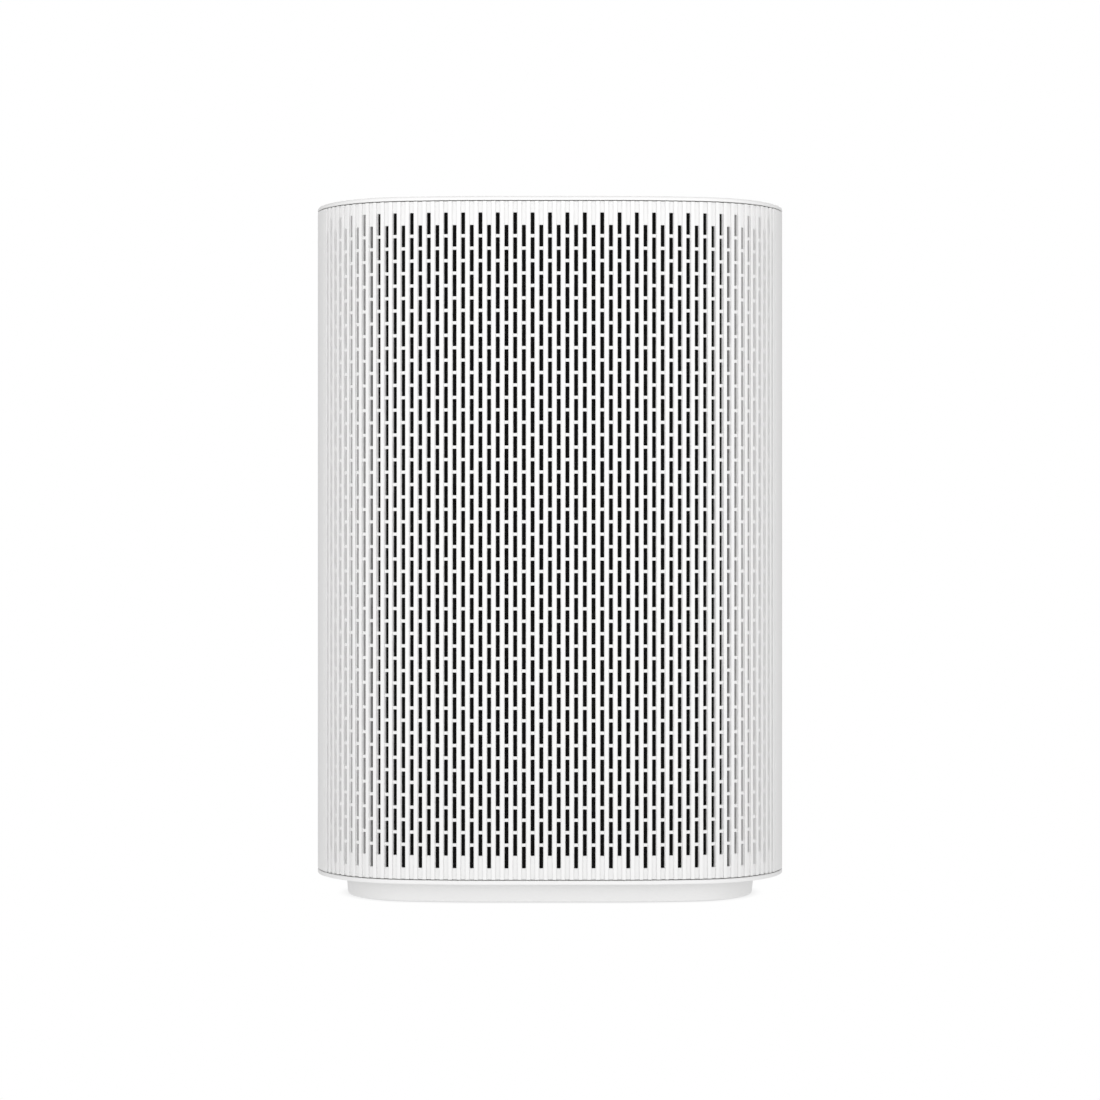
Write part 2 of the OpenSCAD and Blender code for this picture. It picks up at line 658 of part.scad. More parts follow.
module push_button(i) color("white") translate([button_x(i), strip_y + 3, 0]) {
    translate([0, 0, body_h - cap_h]) cylinder(r = button_r, h = cap_h - 0.2);
    translate([0, 0, stem_z0]) cylinder(r = stem_r, h = body_h - cap_h - stem_z0 + eps);
}
module control_board() color("seagreen")
    box([-strip_half + 3, strip_y0 + 3, board_z0], [strip_half - 3, strip_y1 - 3, board_z0 + board_t]);
module tact_switches() color([0.15, 0.15, 0.15]) for (i = [0:buttons - 1])
    translate([button_x(i), strip_y + 3, board_z0 + board_t]) {
        translate([-3, -3, 0]) cube([6, 6, switch_h]);
        cylinder(r = 1.6, h = switch_h + plunger_h);
    }

// ---- Chassis and fan ---------------------------------------------------------------------

scroll_lug_at = [105, 170, 235, 300];
function scroll_lug(a) = (scroll_radius(a) + scroll_wall + 3.4) * [cos(a), sin(a)];
module chassis() color("silver") difference() {
    union() {
        box([-chassis_half, chassis_y0, lip_z + spigot_h + 1.5],
            [chassis_half, chassis_y1, cover_z - spigot_h - 1.5]);
        difference() {
            box([-bay_half, filter_y0, bay_z0], [bay_half, chassis_y0 + eps, bay_z1]);
            box([-bay_half + bay_wall, filter_y0 - 1, bay_z0 + bay_wall],
                [bay_half - bay_wall, chassis_y0 + 1, bay_z1 - bay_wall]);
        }
    }
    box([-outlet_half - duct_wall - 0.5, chassis_y0 - 1, duct_z0 - 0.5],
        [outlet_half + duct_wall + 0.5, chassis_y1 + 1, cover_z]);
    translate([0, 0, fan_z]) rod_y(chassis_hole_r, chassis_y0 - 1, chassis_y1 + 1);
    mirrored_x() for (z = side_boss_z)
        translate([side_boss_x, 0, z]) rod_y(screw_r + 0.3, chassis_y0 - 1, chassis_y1 + 1);
    translate([0, 0, fan_z]) for (a = scroll_lug_at)
        translate([scroll_lug(a)[0], 0, scroll_lug(a)[1]])
            rod_y(screw_r + pilot_gap, chassis_y0 - 1, chassis_y1 + 1);
}
module panel_switch() color([0.1, 0.1, 0.1])
    box([magnet_x - 8, front_y + spigot_inset + spigot_t + 0.2, lip_z + 0.2],
        [magnet_x + 8, front_y + spigot_inset + spigot_t + 7, lip_z + 6]);
guard_rings = 5;
guard_gap = 0.2;
module inlet_guard() color("white") translate([0, 0, fan_z]) {
    y0 = chassis_y0 + 0.3;
    y1 = chassis_y1 - 0.3;
    for (i = [1:guard_rings]) {
        r = (chassis_hole_r - guard_gap) * i / guard_rings;
        tube_y(r, r - 1.6, y0, y1);
    }
    for (a = [0:60:359]) rotate([0, a, 0])
        box([guard_ring_r(1) - 0.8, y0, -0.8], [chassis_hole_r - guard_gap - 0.8, y1, 0.8]);
}
function guard_ring_r(i) = (chassis_hole_r - guard_gap) * i / guard_rings;
bell_steps = 8;
bell_t = 1.6;
module bellmouth() color("gainsboro") translate([0, 0, fan_z]) rotate([-90, 0, 0])
    rotate_extrude() translate([0, chassis_y1 + 0.2]) polygon(concat(
        [for (j = [0:bell_steps]) let (a = 90 * j / bell_steps)
            [chassis_hole_r - bell_flare * sin(a), bell_flare - bell_flare * cos(a)]],
        [for (j = [bell_steps:-1:1]) let (a = 90 * j / bell_steps)
            [chassis_hole_r - (bell_flare - bell_t) * sin(a), bell_flare - (bell_flare - bell_t) * cos(a)]],
        [[chassis_hole_r + 6, bell_t], [chassis_hole_r + 6, 0]]));

spiral_steps = 29;
// The air way in X and Z about the fan's centre, grown by a wall
module scroll_plan(grow) polygon(concat(
    [for (i = [0:spiral_steps]) let (a = tongue_at + i * (360 - tongue_at) / spiral_steps)
        (scroll_radius(a) + grow) * [cos(a), sin(a)]],
    [[scroll_end_r + grow, (duct_z0 - fan_z) * 0.35], [outlet_half + grow, duct_z0 - fan_z],
        [-outlet_half - grow, duct_z0 - fan_z]]));
module scroll_housing() color([0.75, 0.76, 0.78]) translate([0, 0, fan_z]) difference() {
    union() {
        slab_y(chassis_y1 + 0.1, scroll_y1) scroll_plan(scroll_wall);
        for (a = scroll_lug_at) translate([scroll_lug(a)[0], 0, scroll_lug(a)[1]])
            rod_y(4.2, chassis_y1 + 0.1, chassis_y1 + 8);
    }
    translate([0, 0, eps]) slab_y(chassis_y1, scroll_y0) scroll_plan(0);
    for (a = scroll_lug_at) translate([scroll_lug(a)[0], 0, scroll_lug(a)[1]])
        rod_y(screw_r + 0.3, chassis_y1, chassis_y1 + 9);
    rod_y(shaft_r + 4, scroll_y0 - 1, scroll_y1 + 1);
    for (i = [0:2]) rotate([0, 120 * i + 30, 0]) translate([motor_screw_r, 0, 0])
        rod_y(screw_r + pilot_gap, scroll_y0 - 1, scroll_y1 + 1);
}
duct_wall = 2;
module outlet_duct() color([0.75, 0.76, 0.78]) difference() {
    box([-outlet_half - duct_wall, outlet_y0 - duct_wall, duct_z0 + 0.3],
        [outlet_half + duct_wall, outlet_y1 + duct_wall, cover_z - 0.2]);
    box([-outlet_half, outlet_y0, duct_z0 + 2.3], [outlet_half, outlet_y1, cover_z + 1]);
    box([-outlet_half + 1, outlet_y0 + 1, duct_z0 - 1], [outlet_half - 1, scroll_y0 - 1, duct_z0 + 3]);
}
impeller_hub_r = 16;
hub_d = 14;
nut_d = 5;
nut_y1 = impeller_y1 - hub_d;
nut_y0 = nut_y1 - nut_d;
module impeller() color([0.2, 0.21, 0.23]) translate([0, 0, fan_z]) difference() {
    union() {
        rod_y(impeller_r, impeller_y1 - 2, impeller_y1);
        tube_y(impeller_r, eye_r, impeller_y0, impeller_y0 + 2);
        rod_y(impeller_hub_r, nut_y1, impeller_y1);
        for (i = [0:blades - 1]) rotate([0, 360 * i / blades, 0]) blade();
    }
    rod_y(shaft_r, nut_y1 - 1, impeller_y1 + 1);
}
// One backward-leaning blade: a curved strip from just outside the eye to the rim
blade_t = 1.6;
blade_steps = 6;
blade_sweep = 38;
blade_span = impeller_r - eye_r - 2;
blade_lean = atan((impeller_r + eye_r) / 2 * blade_sweep / PI_DEG / blade_span);
function blade_point(j, side) =
    let (r = eye_r + 1 + blade_span * j / blade_steps, a = blade_sweep * j / blade_steps,
        across = a + blade_lean - 90)
    [r * cos(a), r * sin(a)] + side * blade_t / 2 * [cos(across), sin(across)];
module blade() slab_y(impeller_y0 + 1, impeller_y1 - 1) polygon(concat(
    [for (j = [0:blade_steps]) blade_point(j, 1)],
    [for (j = [blade_steps:-1:0]) blade_point(j, -1)]));
module impeller_nut() color("silver") translate([0, 0, fan_z]) difference() {
    rod_y(2 * shaft_r, nut_y0, nut_y1);
    rod_y(shaft_r, nut_y0 - 1, impeller_y1);
}
module rotor_shaft() color("silver") translate([0, 0, fan_z])
    rod_y(shaft_r, nut_y0 - 2, shaft_y1 - 0.2);
rotor_y0 = bearing_y0 + bearing_d + 0.5;
rotor_y1 = bearing_y1 - 0.5;
rotor_r = 20;
module motor_rotor() color([0.3, 0.3, 0.32]) translate([0, 0, fan_z])
    tube_y(rotor_r, shaft_r, rotor_y0, rotor_y1);
module motor_stator() color([0.6, 0.35, 0.2]) translate([0, 0, fan_z])
    tube_y(motor_r - can_wall, rotor_r + 0.6, rotor_y0, rotor_y1);
module motor_can() color([0.55, 0.56, 0.58]) translate([0, 0, fan_z]) difference() {
    union() {
        rod_y(motor_flange_r, motor_y0, motor_y0 + flange_t);
        rod_y(motor_r, motor_y0, motor_y1);
    }
    rod_y(motor_r - can_wall, motor_y0 + flange_t + 1, motor_y1 - can_wall);
    rod_y(shaft_r + 2, motor_y0 - 1, motor_y0 + flange_t + 2);
    for (i = [0:2]) rotate([0, 120 * i + 30, 0]) translate([motor_screw_r, 0, 0])
        rod_y(screw_r + 0.3, motor_y0 - 1, motor_y0 + flange_t + 1);
}
module motor_bearings() color("silver") translate([0, 0, fan_z])
    for (y = [bearing_y0, bearing_y1]) tube_y(bearing_r, shaft_r + shaft_clear, y, y + bearing_d);
module motor_grommets() color([0.15, 0.15, 0.15]) translate([0, 0, fan_z]) for (i = [0:2])
    rotate([0, 120 * i + 30, 0]) translate([motor_screw_r, 0, 0])
        tube_y(4, screw_r + 0.3, scroll_y1, motor_y0);

// ---- Rear details ------------------------------------------------------------------------

module handle_cup() color("gainsboro") difference() {
    box([-handle_w / 2 - cup_wall, cup_front_y - handle_d, handle_z0 - cup_wall],
        [handle_w / 2 + cup_wall, cup_front_y, handle_z1 + handle_undercut + cup_wall]);
    box([-handle_w / 2, cup_front_y - handle_d + cup_wall, handle_z0],
        [handle_w / 2, cup_front_y - cup_wall, handle_z1 + handle_undercut]);
    box([-handle_w / 2, cup_front_y - cup_wall - 1, handle_z0], [handle_w / 2, cup_front_y + 1, handle_z1]);
}
module power_inlet() color([0.1, 0.1, 0.1]) difference() {
    union() {
        inlet_block(0, inlet_face_y - inlet_depth - 3, inlet_face_y);
        inlet_block(inlet_flange, rear_inner_y - 2.3, rear_inner_y - 0.3);
    }
    box([-inlet_w / 2, inlet_face_y - inlet_depth, inlet_z - inlet_h / 2],
        [inlet_w / 2, inlet_face_y + 1, inlet_z + inlet_h / 2]);
    mirrored_x() translate([pin_pitch / 2, 0, inlet_z])
        rod_y(pin_r, inlet_face_y - inlet_depth - 5, inlet_face_y);
}
pin_end_y = inlet_face_y - inlet_depth - 6;
module inlet_pins() color("silver") mirrored_x() translate([pin_pitch / 2, 0, inlet_z])
    rod_y(pin_r, pin_end_y, inlet_face_y - 3);

power_board_half = 62;
board_front_gap = 17.6;
board_back_gap = 4.5;
power_y0 = chassis_y1 + board_front_gap;
power_y1 = pin_end_y - board_back_gap;
power_z = low_lug_z + lug_h + 4;
module power_board() color("seagreen")
    box([-power_board_half, power_y0, power_z], [power_board_half, power_y1, power_z + board_t]);
module power_parts() color("goldenrod") {
    z = power_z + board_t;
    box([-50, power_y0 + 6, z], [-24, power_y0 + 30, z + 14]);
    for (x = [-8, 10]) translate([x, power_y0 + 18, z]) cylinder(r = 6, h = 14);
    box([26, power_y0 + 8, z], [52, power_y0 + 20, z + 10]);
    box([26, power_y0 + 26, z], [44, power_y0 + 32, z + 14]);
}
module air_sensor() color([0.85, 0.85, 0.87])
    box([-sensor_w / 2, rear_inner_y - 1 - sensor_d, sensor_z - sensor_h / 2],
        [sensor_w / 2, rear_inner_y - 1, sensor_z + sensor_h / 2]);

// ---- Screws ------------------------------------------------------------------------------

module chassis_screws() color("silver") mirrored_x() for (z = side_boss_z)
    translate([side_boss_x, chassis_y0, z]) rotate([90, 0, 0]) screw(14);
module scroll_screws() color("silver") translate([0, 0, fan_z]) for (a = scroll_lug_at)
    translate([scroll_lug(a)[0], chassis_y1 + 8, scroll_lug(a)[1]]) rotate([-90, 0, 0])
        screw(8 + chassis_wall);
module motor_screws() color("silver") translate([0, 0, fan_z]) for (i = [0:2])
    rotate([0, 120 * i + 30, 0]) translate([motor_screw_r, motor_y0 + flange_t, 0])
        rotate([-90, 0, 0]) screw(flange_t + grommet_h + scroll_wall);
module cover_screws() color("silver") {
    at_lugs(lug_z) mirror([0, 0, 1]) screw(14);
    at_lugs(base_h + screw_head_h + 0.2) mirror([0, 0, 1]) screw(low_lug_z + lug_h - base_h - 3);
}
module base_screws() color("silver") mirrored_x() mirrored_y()
    translate([base_screw_x, foot_y, base_screw_z]) mirror([0, 0, 1]) screw(base_h - base_screw_z + 6);

front_panel();
prefilter_frame();
prefilter_mesh();
panel_magnets();
filter_frame();
filter_pleats();
carbon_layer();
filter_seal();
filter_pull_tab();
rear_housing();
top_cover();
bottom_cover();
base();
rubber_feet();
outlet_grille();
control_strip();
status_light();
push_button(0);  // power_button
push_button(1);  // speed_button
push_button(2);  // timer_button
push_button(3);  // lock_button
control_board();
tact_switches();
chassis();
strike_plates();
panel_switch();
inlet_guard();
bellmouth();
scroll_housing();
outlet_duct();
impeller();
impeller_nut();
rotor_shaft();
motor_rotor();
motor_stator();
motor_can();
motor_bearings();
motor_grommets();
handle_cup();
power_inlet();
inlet_pins();
power_board();
power_parts();
air_sensor();
chassis_screws();
scroll_screws();
motor_screws();
cover_screws();
base_screws();
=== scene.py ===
"""Finished surfaces, materials, light and camera of an air purifier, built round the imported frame.

Sizes are in metres, in the frame's own axes: +Z is up, the intake panel faces -Y and +X is to the
right of someone who faces the panel.
"""

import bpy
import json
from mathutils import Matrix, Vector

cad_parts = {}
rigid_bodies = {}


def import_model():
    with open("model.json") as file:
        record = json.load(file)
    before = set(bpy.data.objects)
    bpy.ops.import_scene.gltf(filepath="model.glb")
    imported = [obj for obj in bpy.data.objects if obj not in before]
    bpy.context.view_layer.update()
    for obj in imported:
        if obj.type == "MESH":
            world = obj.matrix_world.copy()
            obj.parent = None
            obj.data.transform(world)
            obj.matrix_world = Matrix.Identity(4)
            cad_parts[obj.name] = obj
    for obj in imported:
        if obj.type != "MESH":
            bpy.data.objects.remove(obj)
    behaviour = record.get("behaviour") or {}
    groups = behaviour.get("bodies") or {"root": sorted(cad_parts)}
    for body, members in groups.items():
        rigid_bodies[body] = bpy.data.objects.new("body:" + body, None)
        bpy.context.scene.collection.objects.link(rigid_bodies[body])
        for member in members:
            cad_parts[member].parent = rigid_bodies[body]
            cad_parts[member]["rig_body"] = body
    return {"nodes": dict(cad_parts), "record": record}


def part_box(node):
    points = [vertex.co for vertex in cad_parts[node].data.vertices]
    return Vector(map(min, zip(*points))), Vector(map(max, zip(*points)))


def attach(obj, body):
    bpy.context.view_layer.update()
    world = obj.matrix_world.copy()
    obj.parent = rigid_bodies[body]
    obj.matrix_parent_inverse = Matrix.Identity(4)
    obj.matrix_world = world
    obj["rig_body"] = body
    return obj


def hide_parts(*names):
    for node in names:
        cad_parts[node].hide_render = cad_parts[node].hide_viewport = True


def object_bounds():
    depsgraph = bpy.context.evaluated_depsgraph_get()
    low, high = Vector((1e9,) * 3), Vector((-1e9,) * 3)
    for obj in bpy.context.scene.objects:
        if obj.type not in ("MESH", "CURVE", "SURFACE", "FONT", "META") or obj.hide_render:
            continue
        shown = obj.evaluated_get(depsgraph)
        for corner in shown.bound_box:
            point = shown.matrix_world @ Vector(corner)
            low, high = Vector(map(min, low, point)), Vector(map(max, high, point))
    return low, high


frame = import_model()
CAD_BOX = [list(corner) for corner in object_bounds()]

import json
import logging
import math
from dataclasses import dataclass
from enum import Enum
from typing import Callable

import bmesh
import bpy
import numpy as np
from mathutils import Vector
from numpy.typing import NDArray

Floats = NDArray[np.float64]
Ints = NDArray[np.int64]
Flags = NDArray[np.bool_]
Span = tuple[float, float]
WELD = 1e-7  # points nearer than this become one
LOOKUP = 6001  # places in a table of the outline
SMOOTH_ANGLE = math.radians(32)  # faces that meet at a smaller angle are shaded as one surface
CLEARANCE = 0.0003  # gap between an opening and what stands in it
OVERLAP = 0.0002  # how far a part of a piece reaches into the next
log = logging.getLogger("purifier")


# ---- Outline -------------------------------------------------------------------------------------


@dataclass
class Outline:
    """Plan of the cabinet, the same in front and behind.

    A quarter of it is a flat, a slow front arc, a tight shoulder arc and a side arc, each tangent to
    the next. A place on it is told by the length s from the middle of the front, negative on the
    left, and by the inset from the outer skin.

    Attributes:
        half_width: Half of the width over the two sides.
        half_depth: Half of the depth from front to back.
        front_r: Radius of the slow arc.
        shoulder_r: Radius of the shoulder arc.
        front_turn: Angle that the slow arc turns through.
        shoulder_turn: Angle of the outline where the shoulder arc ends.
        parting_turn: Angle of the outline at the joint between the panel and the housing.
        seam: Open joint between the panel, the housing and the covers.
    """

    half_width: float
    half_depth: float
    front_r: float = 0.320
    shoulder_r: float = 0.065
    front_turn: float = math.radians(11.2)
    shoulder_turn: float = math.radians(43)
    parting_turn: float = math.radians(67)
    seam: float = 0.0006

    def __post_init__(self) -> None:
        """Works out the side arc's radius, the flat and the joint's place from the two half sizes."""
        cos_front, cos_shoulder = math.cos(self.front_turn), math.cos(self.shoulder_turn)
        sin_front, sin_shoulder = math.sin(self.front_turn), math.sin(self.shoulder_turn)
        side_r = (self.half_depth - self.front_r * (1 - cos_front)
                  - self.shoulder_r * (cos_front - cos_shoulder)) / cos_shoulder
        self.flat_half = (self.half_width - self.front_r * sin_front
                          - self.shoulder_r * (sin_shoulder - sin_front) - side_r * (1 - sin_shoulder))
        reach = self.front_r - self.shoulder_r
        front = np.array([self.flat_half, self.front_r - self.half_depth])
        self.centres = np.array([front, front + [reach * sin_front, -reach * cos_front],
                                 [self.half_width - side_r, 0.0]])
        self.radii = np.array([self.front_r, self.shoulder_r, side_r])
        self.turns = np.array([0.0, self.front_turn, self.shoulder_turn, math.pi / 2])
        lengths = self.radii * np.diff(self.turns)
        self.starts = self.flat_half + np.concatenate([[0.0], np.cumsum(lengths)[:-1]])
        self.quarter = self.flat_half + lengths.sum()
        self.parting_s = float(self.starts[2] + side_r * (self.parting_turn - self.shoulder_turn))
        self.parting_y = float(self.place(self.parting_s, 0.0, 0.0)[1])

    def place(self, s: Floats, inset: Floats, z: Floats) -> Floats:
        """Points on the inset outline.

        On an arc, the point is the arc's centre plus (radius - inset) times the outward direction
        (sin turn, -cos turn); the back and the left are mirror images of the front right quarter.

        Args:
            s: Lengths from the middle of the front, at most two quarters either way.
            inset: Insets from the skin.
            z: Heights.

        Returns:
            An array of the broadcast shape with a last axis of x, y, z.
        """
        s, inset, z = np.broadcast_arrays(np.asarray(s, float), inset, z)
        run = np.abs(s)
        behind = run > self.quarter
        run = np.where(behind, 2 * self.quarter - run, run)
        on_arc = np.maximum(run, self.flat_half)
        arc = np.clip(np.searchsorted(self.starts, on_arc, side="right") - 1, 0, 2)
        turn = self.turns[arc] + (on_arc - self.starts[arc]) / self.radii[arc]
        radius = self.radii[arc] - inset
        x = self.centres[arc, 0] + radius * np.sin(turn) + run - on_arc
        y = self.centres[arc, 1] - radius * np.cos(turn)
        return np.stack([np.where(s < 0, -x, x), np.where(behind, -y, y), z], axis=-1)

    def at_depth(self, y: Floats, inset: float) -> Floats:
        """Lengths s on the right half at which the inset outline reaches the depths y, by table."""
        table = np.linspace(self.flat_half, 2 * self.quarter - self.flat_half, LOOKUP)
        return np.interp(y, self.place(table, inset, 0.0)[:, 1], table)

    def behind_x(self, x: Floats) -> Floats:
        """Signed lengths from the middle of the back at which the skin reaches the widths x, by table."""
        table = np.linspace(0.0, self.quarter, LOOKUP)
        return np.sign(x) * np.interp(np.abs(x), self.place(table, 0.0, 0.0)[:, 0], table)

    def from_back(self, t: Floats) -> Floats:
        """Lengths s of places at a signed length t from the middle of the back."""
        return np.where(t < 0, -1.0, 1.0) * (2 * self.quarter - np.abs(t))

    def around(self, step: float = 0.0025) -> Floats:
        """Lengths s of the right half's arcs, from the front flat's end to the back flat's."""
        arcs = [np.linspace(start, end, max(3, math.ceil((end - start) / step)))
                for start, end in zip(self.starts, [*self.starts[1:], self.quarter])]
        front = np.unique(np.concatenate(arcs))
        return np.concatenate([front, (2 * self.quarter - front[:-1])[::-1]])


# ---- Surfaces ------------------------------------------------------------------------------------


class Shape:
    """Surfaces collected as whole arrays and welded into one closed mesh."""

    def __init__(self) -> None:
        """Starts with no points and no faces."""
        self.points: list[Floats] = []
        self.faces: list[Ints] = []
        self.count = 0

    def add(self, points: Floats, *faces: Ints) -> None:
        """Adds points and the faces that index them.

        Args:
            points: Points with a last axis of x, y, z.
            faces: Arrays of three or four indices a row, into these points.
        """
        flat = points.reshape(-1, 3)
        self.points.append(flat)
        self.faces += [rows.reshape(-1, rows.shape[-1]) + self.count for rows in faces]
        self.count += len(flat)

    def sheet(self, grid: Floats, keep: Flags | None = None) -> None:
        """Adds the quads of a grid of points.

        Args:
            grid: Points in rows and columns.
            keep: Which cells are there; all of them when it is left out.
        """
        rows, columns = grid.shape[:2]
        index = np.arange(rows * columns).reshape(rows, columns)
        quads = np.stack([index[:-1, :-1], index[1:, :-1], index[1:, 1:], index[:-1, 1:]], axis=-1)
        self.add(grid, quads.reshape(-1, 4) if keep is None else quads[keep])

    def slab(self, outer: Floats, inner: Floats, keep: Flags | None = None, rim: bool = True) -> None:
        """Adds a wall between two grids, with walls round its border and round each opening.

        Args:
            outer: Points of one face, in rows and columns.
            inner: The points opposite them on the other face.
            keep: Which cells are solid; all of them when it is left out.
            rim: Whether the outer border gets its wall.
        """
        rows, columns = outer.shape[:2]
        keep = np.ones((rows - 1, columns - 1), bool) if keep is None else keep
        self.sheet(outer, keep)
        self.sheet(inner, keep)
        solid = np.pad(keep, 1)
        across = solid[:-1, 1:-1] != solid[1:, 1:-1]
        along = solid[1:-1, :-1] != solid[1:-1, 1:]
        if not rim:
            across[[0, -1]] = False
            along[:, [0, -1]] = False
        for edge, step in ((across, (0, 1)), (along, (1, 0))):
            start = np.nonzero(edge)
            end = (start[0] + step[0], start[1] + step[1])
            self.quads(outer[start], outer[end], inner[end], inner[start])

    def quads(self, *corners: Floats) -> None:
        """Adds loose quads from four arrays, one for each corner in turn."""
        points = np.stack(corners, axis=1)
        self.add(points, np.arange(len(points) * 4).reshape(-1, 4))

    def repeat(self, points: Floats, *faces: Ints) -> None:
        """Adds copies of one set of faces, each on its own row of points.

        Args:
            points: Rows of points.
            faces: Arrays of three or four indices into a row.
        """
        shift = (np.arange(len(points)) * points.shape[1])[:, None, None]
        self.add(points, *(shift + rows[None] for rows in faces))

    def fan(self, points: Floats) -> None:
        """Adds triangles that fill a line of points, all from its first point."""
        corner = np.arange(1, len(points) - 1)
        self.add(points, np.stack([np.zeros_like(corner), corner, corner + 1], axis=1))

    def lathe(self, profile: Floats, x: float, y: float, sides: int = 48) -> None:
        """Adds a profile turned round an upright axis.

        A point at radius r and height h goes to (x + r cos a, y + r sin a, h).

        Args:
            profile: Rows of radius and height, from one end on the axis to the other.
            x: Where the axis stands across the object.
            y: Where it stands from front to back.
            sides: Number of steps in the turn.
        """
        angle = np.linspace(0, 2 * math.pi, sides + 1)[:, None]
        radius, height = profile[:, 0], profile[:, 1]
        turned = np.broadcast_arrays(x + radius * np.cos(angle), y + radius * np.sin(angle), height)
        self.sheet(np.stack(turned, axis=-1))

    def block(self, low: Floats, high: Floats) -> None:
        """Adds a box between two corners."""
        x, y = np.meshgrid([low[0], high[0]], [low[1], high[1]], indexing="ij")
        self.slab(*(np.stack([x, y, np.full_like(x, z)], axis=-1) for z in (high[2], low[2])))

    def mesh(self, name: str) -> bpy.types.Mesh:
        """Welds the surfaces into a mesh.

        Points within the weld distance become one, and quads with a side of no length become
        triangles. Normals then point out of each closed shell.

        Args:
            name: Name of the mesh.

        Returns:
            The mesh.
        """
        points = np.concatenate(self.points)
        _, first, index = np.unique(np.round(points / WELD).astype(np.int64), axis=0,
                                    return_index=True, return_inverse=True)
        index = index.reshape(-1)
        corners: list[Ints] = []
        for rows in self.faces:
            rows = index[rows]
            repeated = rows == np.roll(rows, -1, axis=1)
            corners.append(rows[~repeated.any(axis=1)])
            once = repeated.sum(axis=1) == 1
            if rows.shape[1] == 4 and once.any():
                corners.append(rows[once][~repeated[once]].reshape(-1, 3))
        mesh = bpy.data.meshes.new(name)
        mesh.vertices.add(len(first))
        mesh.vertices.foreach_set("co", points[first].astype(np.float32).ravel())
        sizes = np.concatenate([np.full(len(rows), rows.shape[1]) for rows in corners])
        mesh.loops.add(int(sizes.sum()))
        used = np.concatenate([rows.ravel() for rows in corners])
        mesh.loops.foreach_set("vertex_index", used.astype(np.int32))
        mesh.polygons.add(len(sizes))
        mesh.polygons.foreach_set("loop_start", (np.cumsum(sizes) - sizes).astype(np.int32))
        mesh.update(calc_edges=True)
        mesh.validate()
        shell = bmesh.new()
        shell.from_mesh(mesh)
        bmesh.ops.recalc_face_normals(shell, faces=shell.faces)
        shell.to_mesh(mesh)
        shell.free()
        return mesh


def arc(centre: tuple[float, float], radius: float, start: float, end: float, steps: int) -> Floats:
    """Points centre + radius (cos a, sin a), with the angle a in degrees from start to end."""
    angle = np.radians(np.linspace(start, end, steps + 1))[:, None]
    return np.array(centre) + radius * np.hstack([np.cos(angle), np.sin(angle)])


@dataclass
class Plan:
    """A level cover that fills the outline: rows across it at chosen depths, columns at chosen widths.

    Attributes:
        outline: The cabinet's outline.
        depths: Depths y that must be rows, such as the edges of an opening.
        widths: Half-widths x that must be columns where the plan is wide enough.
        margin: Least distance between neighbouring columns where the plan is narrow.
        apart: Least length along the outline between a chosen depth and another row.
        blend: Distance from a chosen depth beyond which rows follow the inset outline in full.
    """

    outline: Outline
    depths: tuple[float, ...] = ()
    widths: tuple[float, ...] = (0.05,)
    margin: float = 0.001
    apart: float = 0.0002
    blend: float = 0.006

    def rows(self) -> Floats:
        """Lengths s of the rows' right ends, from front to back."""
        fixed = self.outline.at_depth(np.array(self.depths), 0.0) if self.depths else np.empty(0)
        free = self.outline.around()
        keep = (np.abs(free[:, None] - fixed[None, :]) >= self.apart).all(axis=1)
        keep[[0, -1]] = True
        return np.unique(np.concatenate([free[keep], fixed]))

    def grid(self, inset: float, z: float) -> Floats:
        """Points of the cover at one inset and height, in rows and columns.

        A row runs at the depth of its right end on the inset outline; a chosen depth stays where it
        is, and rows near it move by a share that grows with their distance from it. A column stands
        at its own half-width w, or where the row is narrower at the row's half-width less one margin
        for each column outside it.

        Args:
            inset: Inset of the border from the skin.
            z: Height.

        Returns:
            Points in rows and columns.
        """
        rows = self.rows()
        y = self.outline.place(rows, inset, z)[:, 1]
        if self.depths:
            skin = self.outline.place(rows, 0.0, z)[:, 1]
            wanted = np.array(self.depths)
            distance = np.abs(skin[:, None] - wanted[None, :])
            nearest = wanted[distance.argmin(axis=1)]
            share = np.clip(distance.min(axis=1) / self.blend, 0.0, 1.0)
            chosen = np.isclose(skin, nearest, rtol=0.0, atol=10 * WELD)
            y = np.where(chosen, nearest, skin + share * (y - skin))
        half = self.outline.place(self.outline.at_depth(y, inset), inset, z)[:, :1]
        count = len(self.widths)
        inner = np.minimum(np.array(self.widths)[None, :],
                           half - self.margin * (count - np.arange(count))[None, :])
        x = np.hstack([-half, -inner[:, ::-1], inner, half])
        return np.stack([x, np.broadcast_to(y[:, None], x.shape), np.full(x.shape, z)], axis=-1)

    def border(self, inset: float, z: float) -> Floats:
        """The closed line of border points of the grid at one inset and height."""
        cover = self.grid(inset, z)
        return np.concatenate([cover[:, -1], cover[-1, -2::-1], cover[-2::-1, 0], cover[0, 1:]])

    def rim(self, shape: Shape, profile: Floats) -> None:
        """Carries a profile of insets and heights round the border."""
        shape.sheet(np.stack([self.border(inset, z) for inset, z in profile]))

    def cells(self, low: Span, high: Span) -> Flags:
        """Which cells of the grid lie between two corners in plan; any small inset tells them."""
        cover = self.grid(2 * self.margin, 0.0)
        middle = (cover[:-1, :-1] + cover[1:, 1:])[..., :2] / 2
        return ((middle > low) & (middle < high)).all(axis=-1)


# ---- Materials -----------------------------------------------------------------------------------


class Pattern(Enum):
    """Fine relief and tone of a finish, each a shader group of its own."""

    GRAIN = "MouldGrain"
    NET = "NetWeave"
    FIBRE = "FibreFelt"
    GRANULE = "CarbonGranule"
    BRUSHED = "BrushedMetal"
    FOAM = "FoamCell"
    WINDING = "WireWinding"
    BOARD = "BoardTrack"


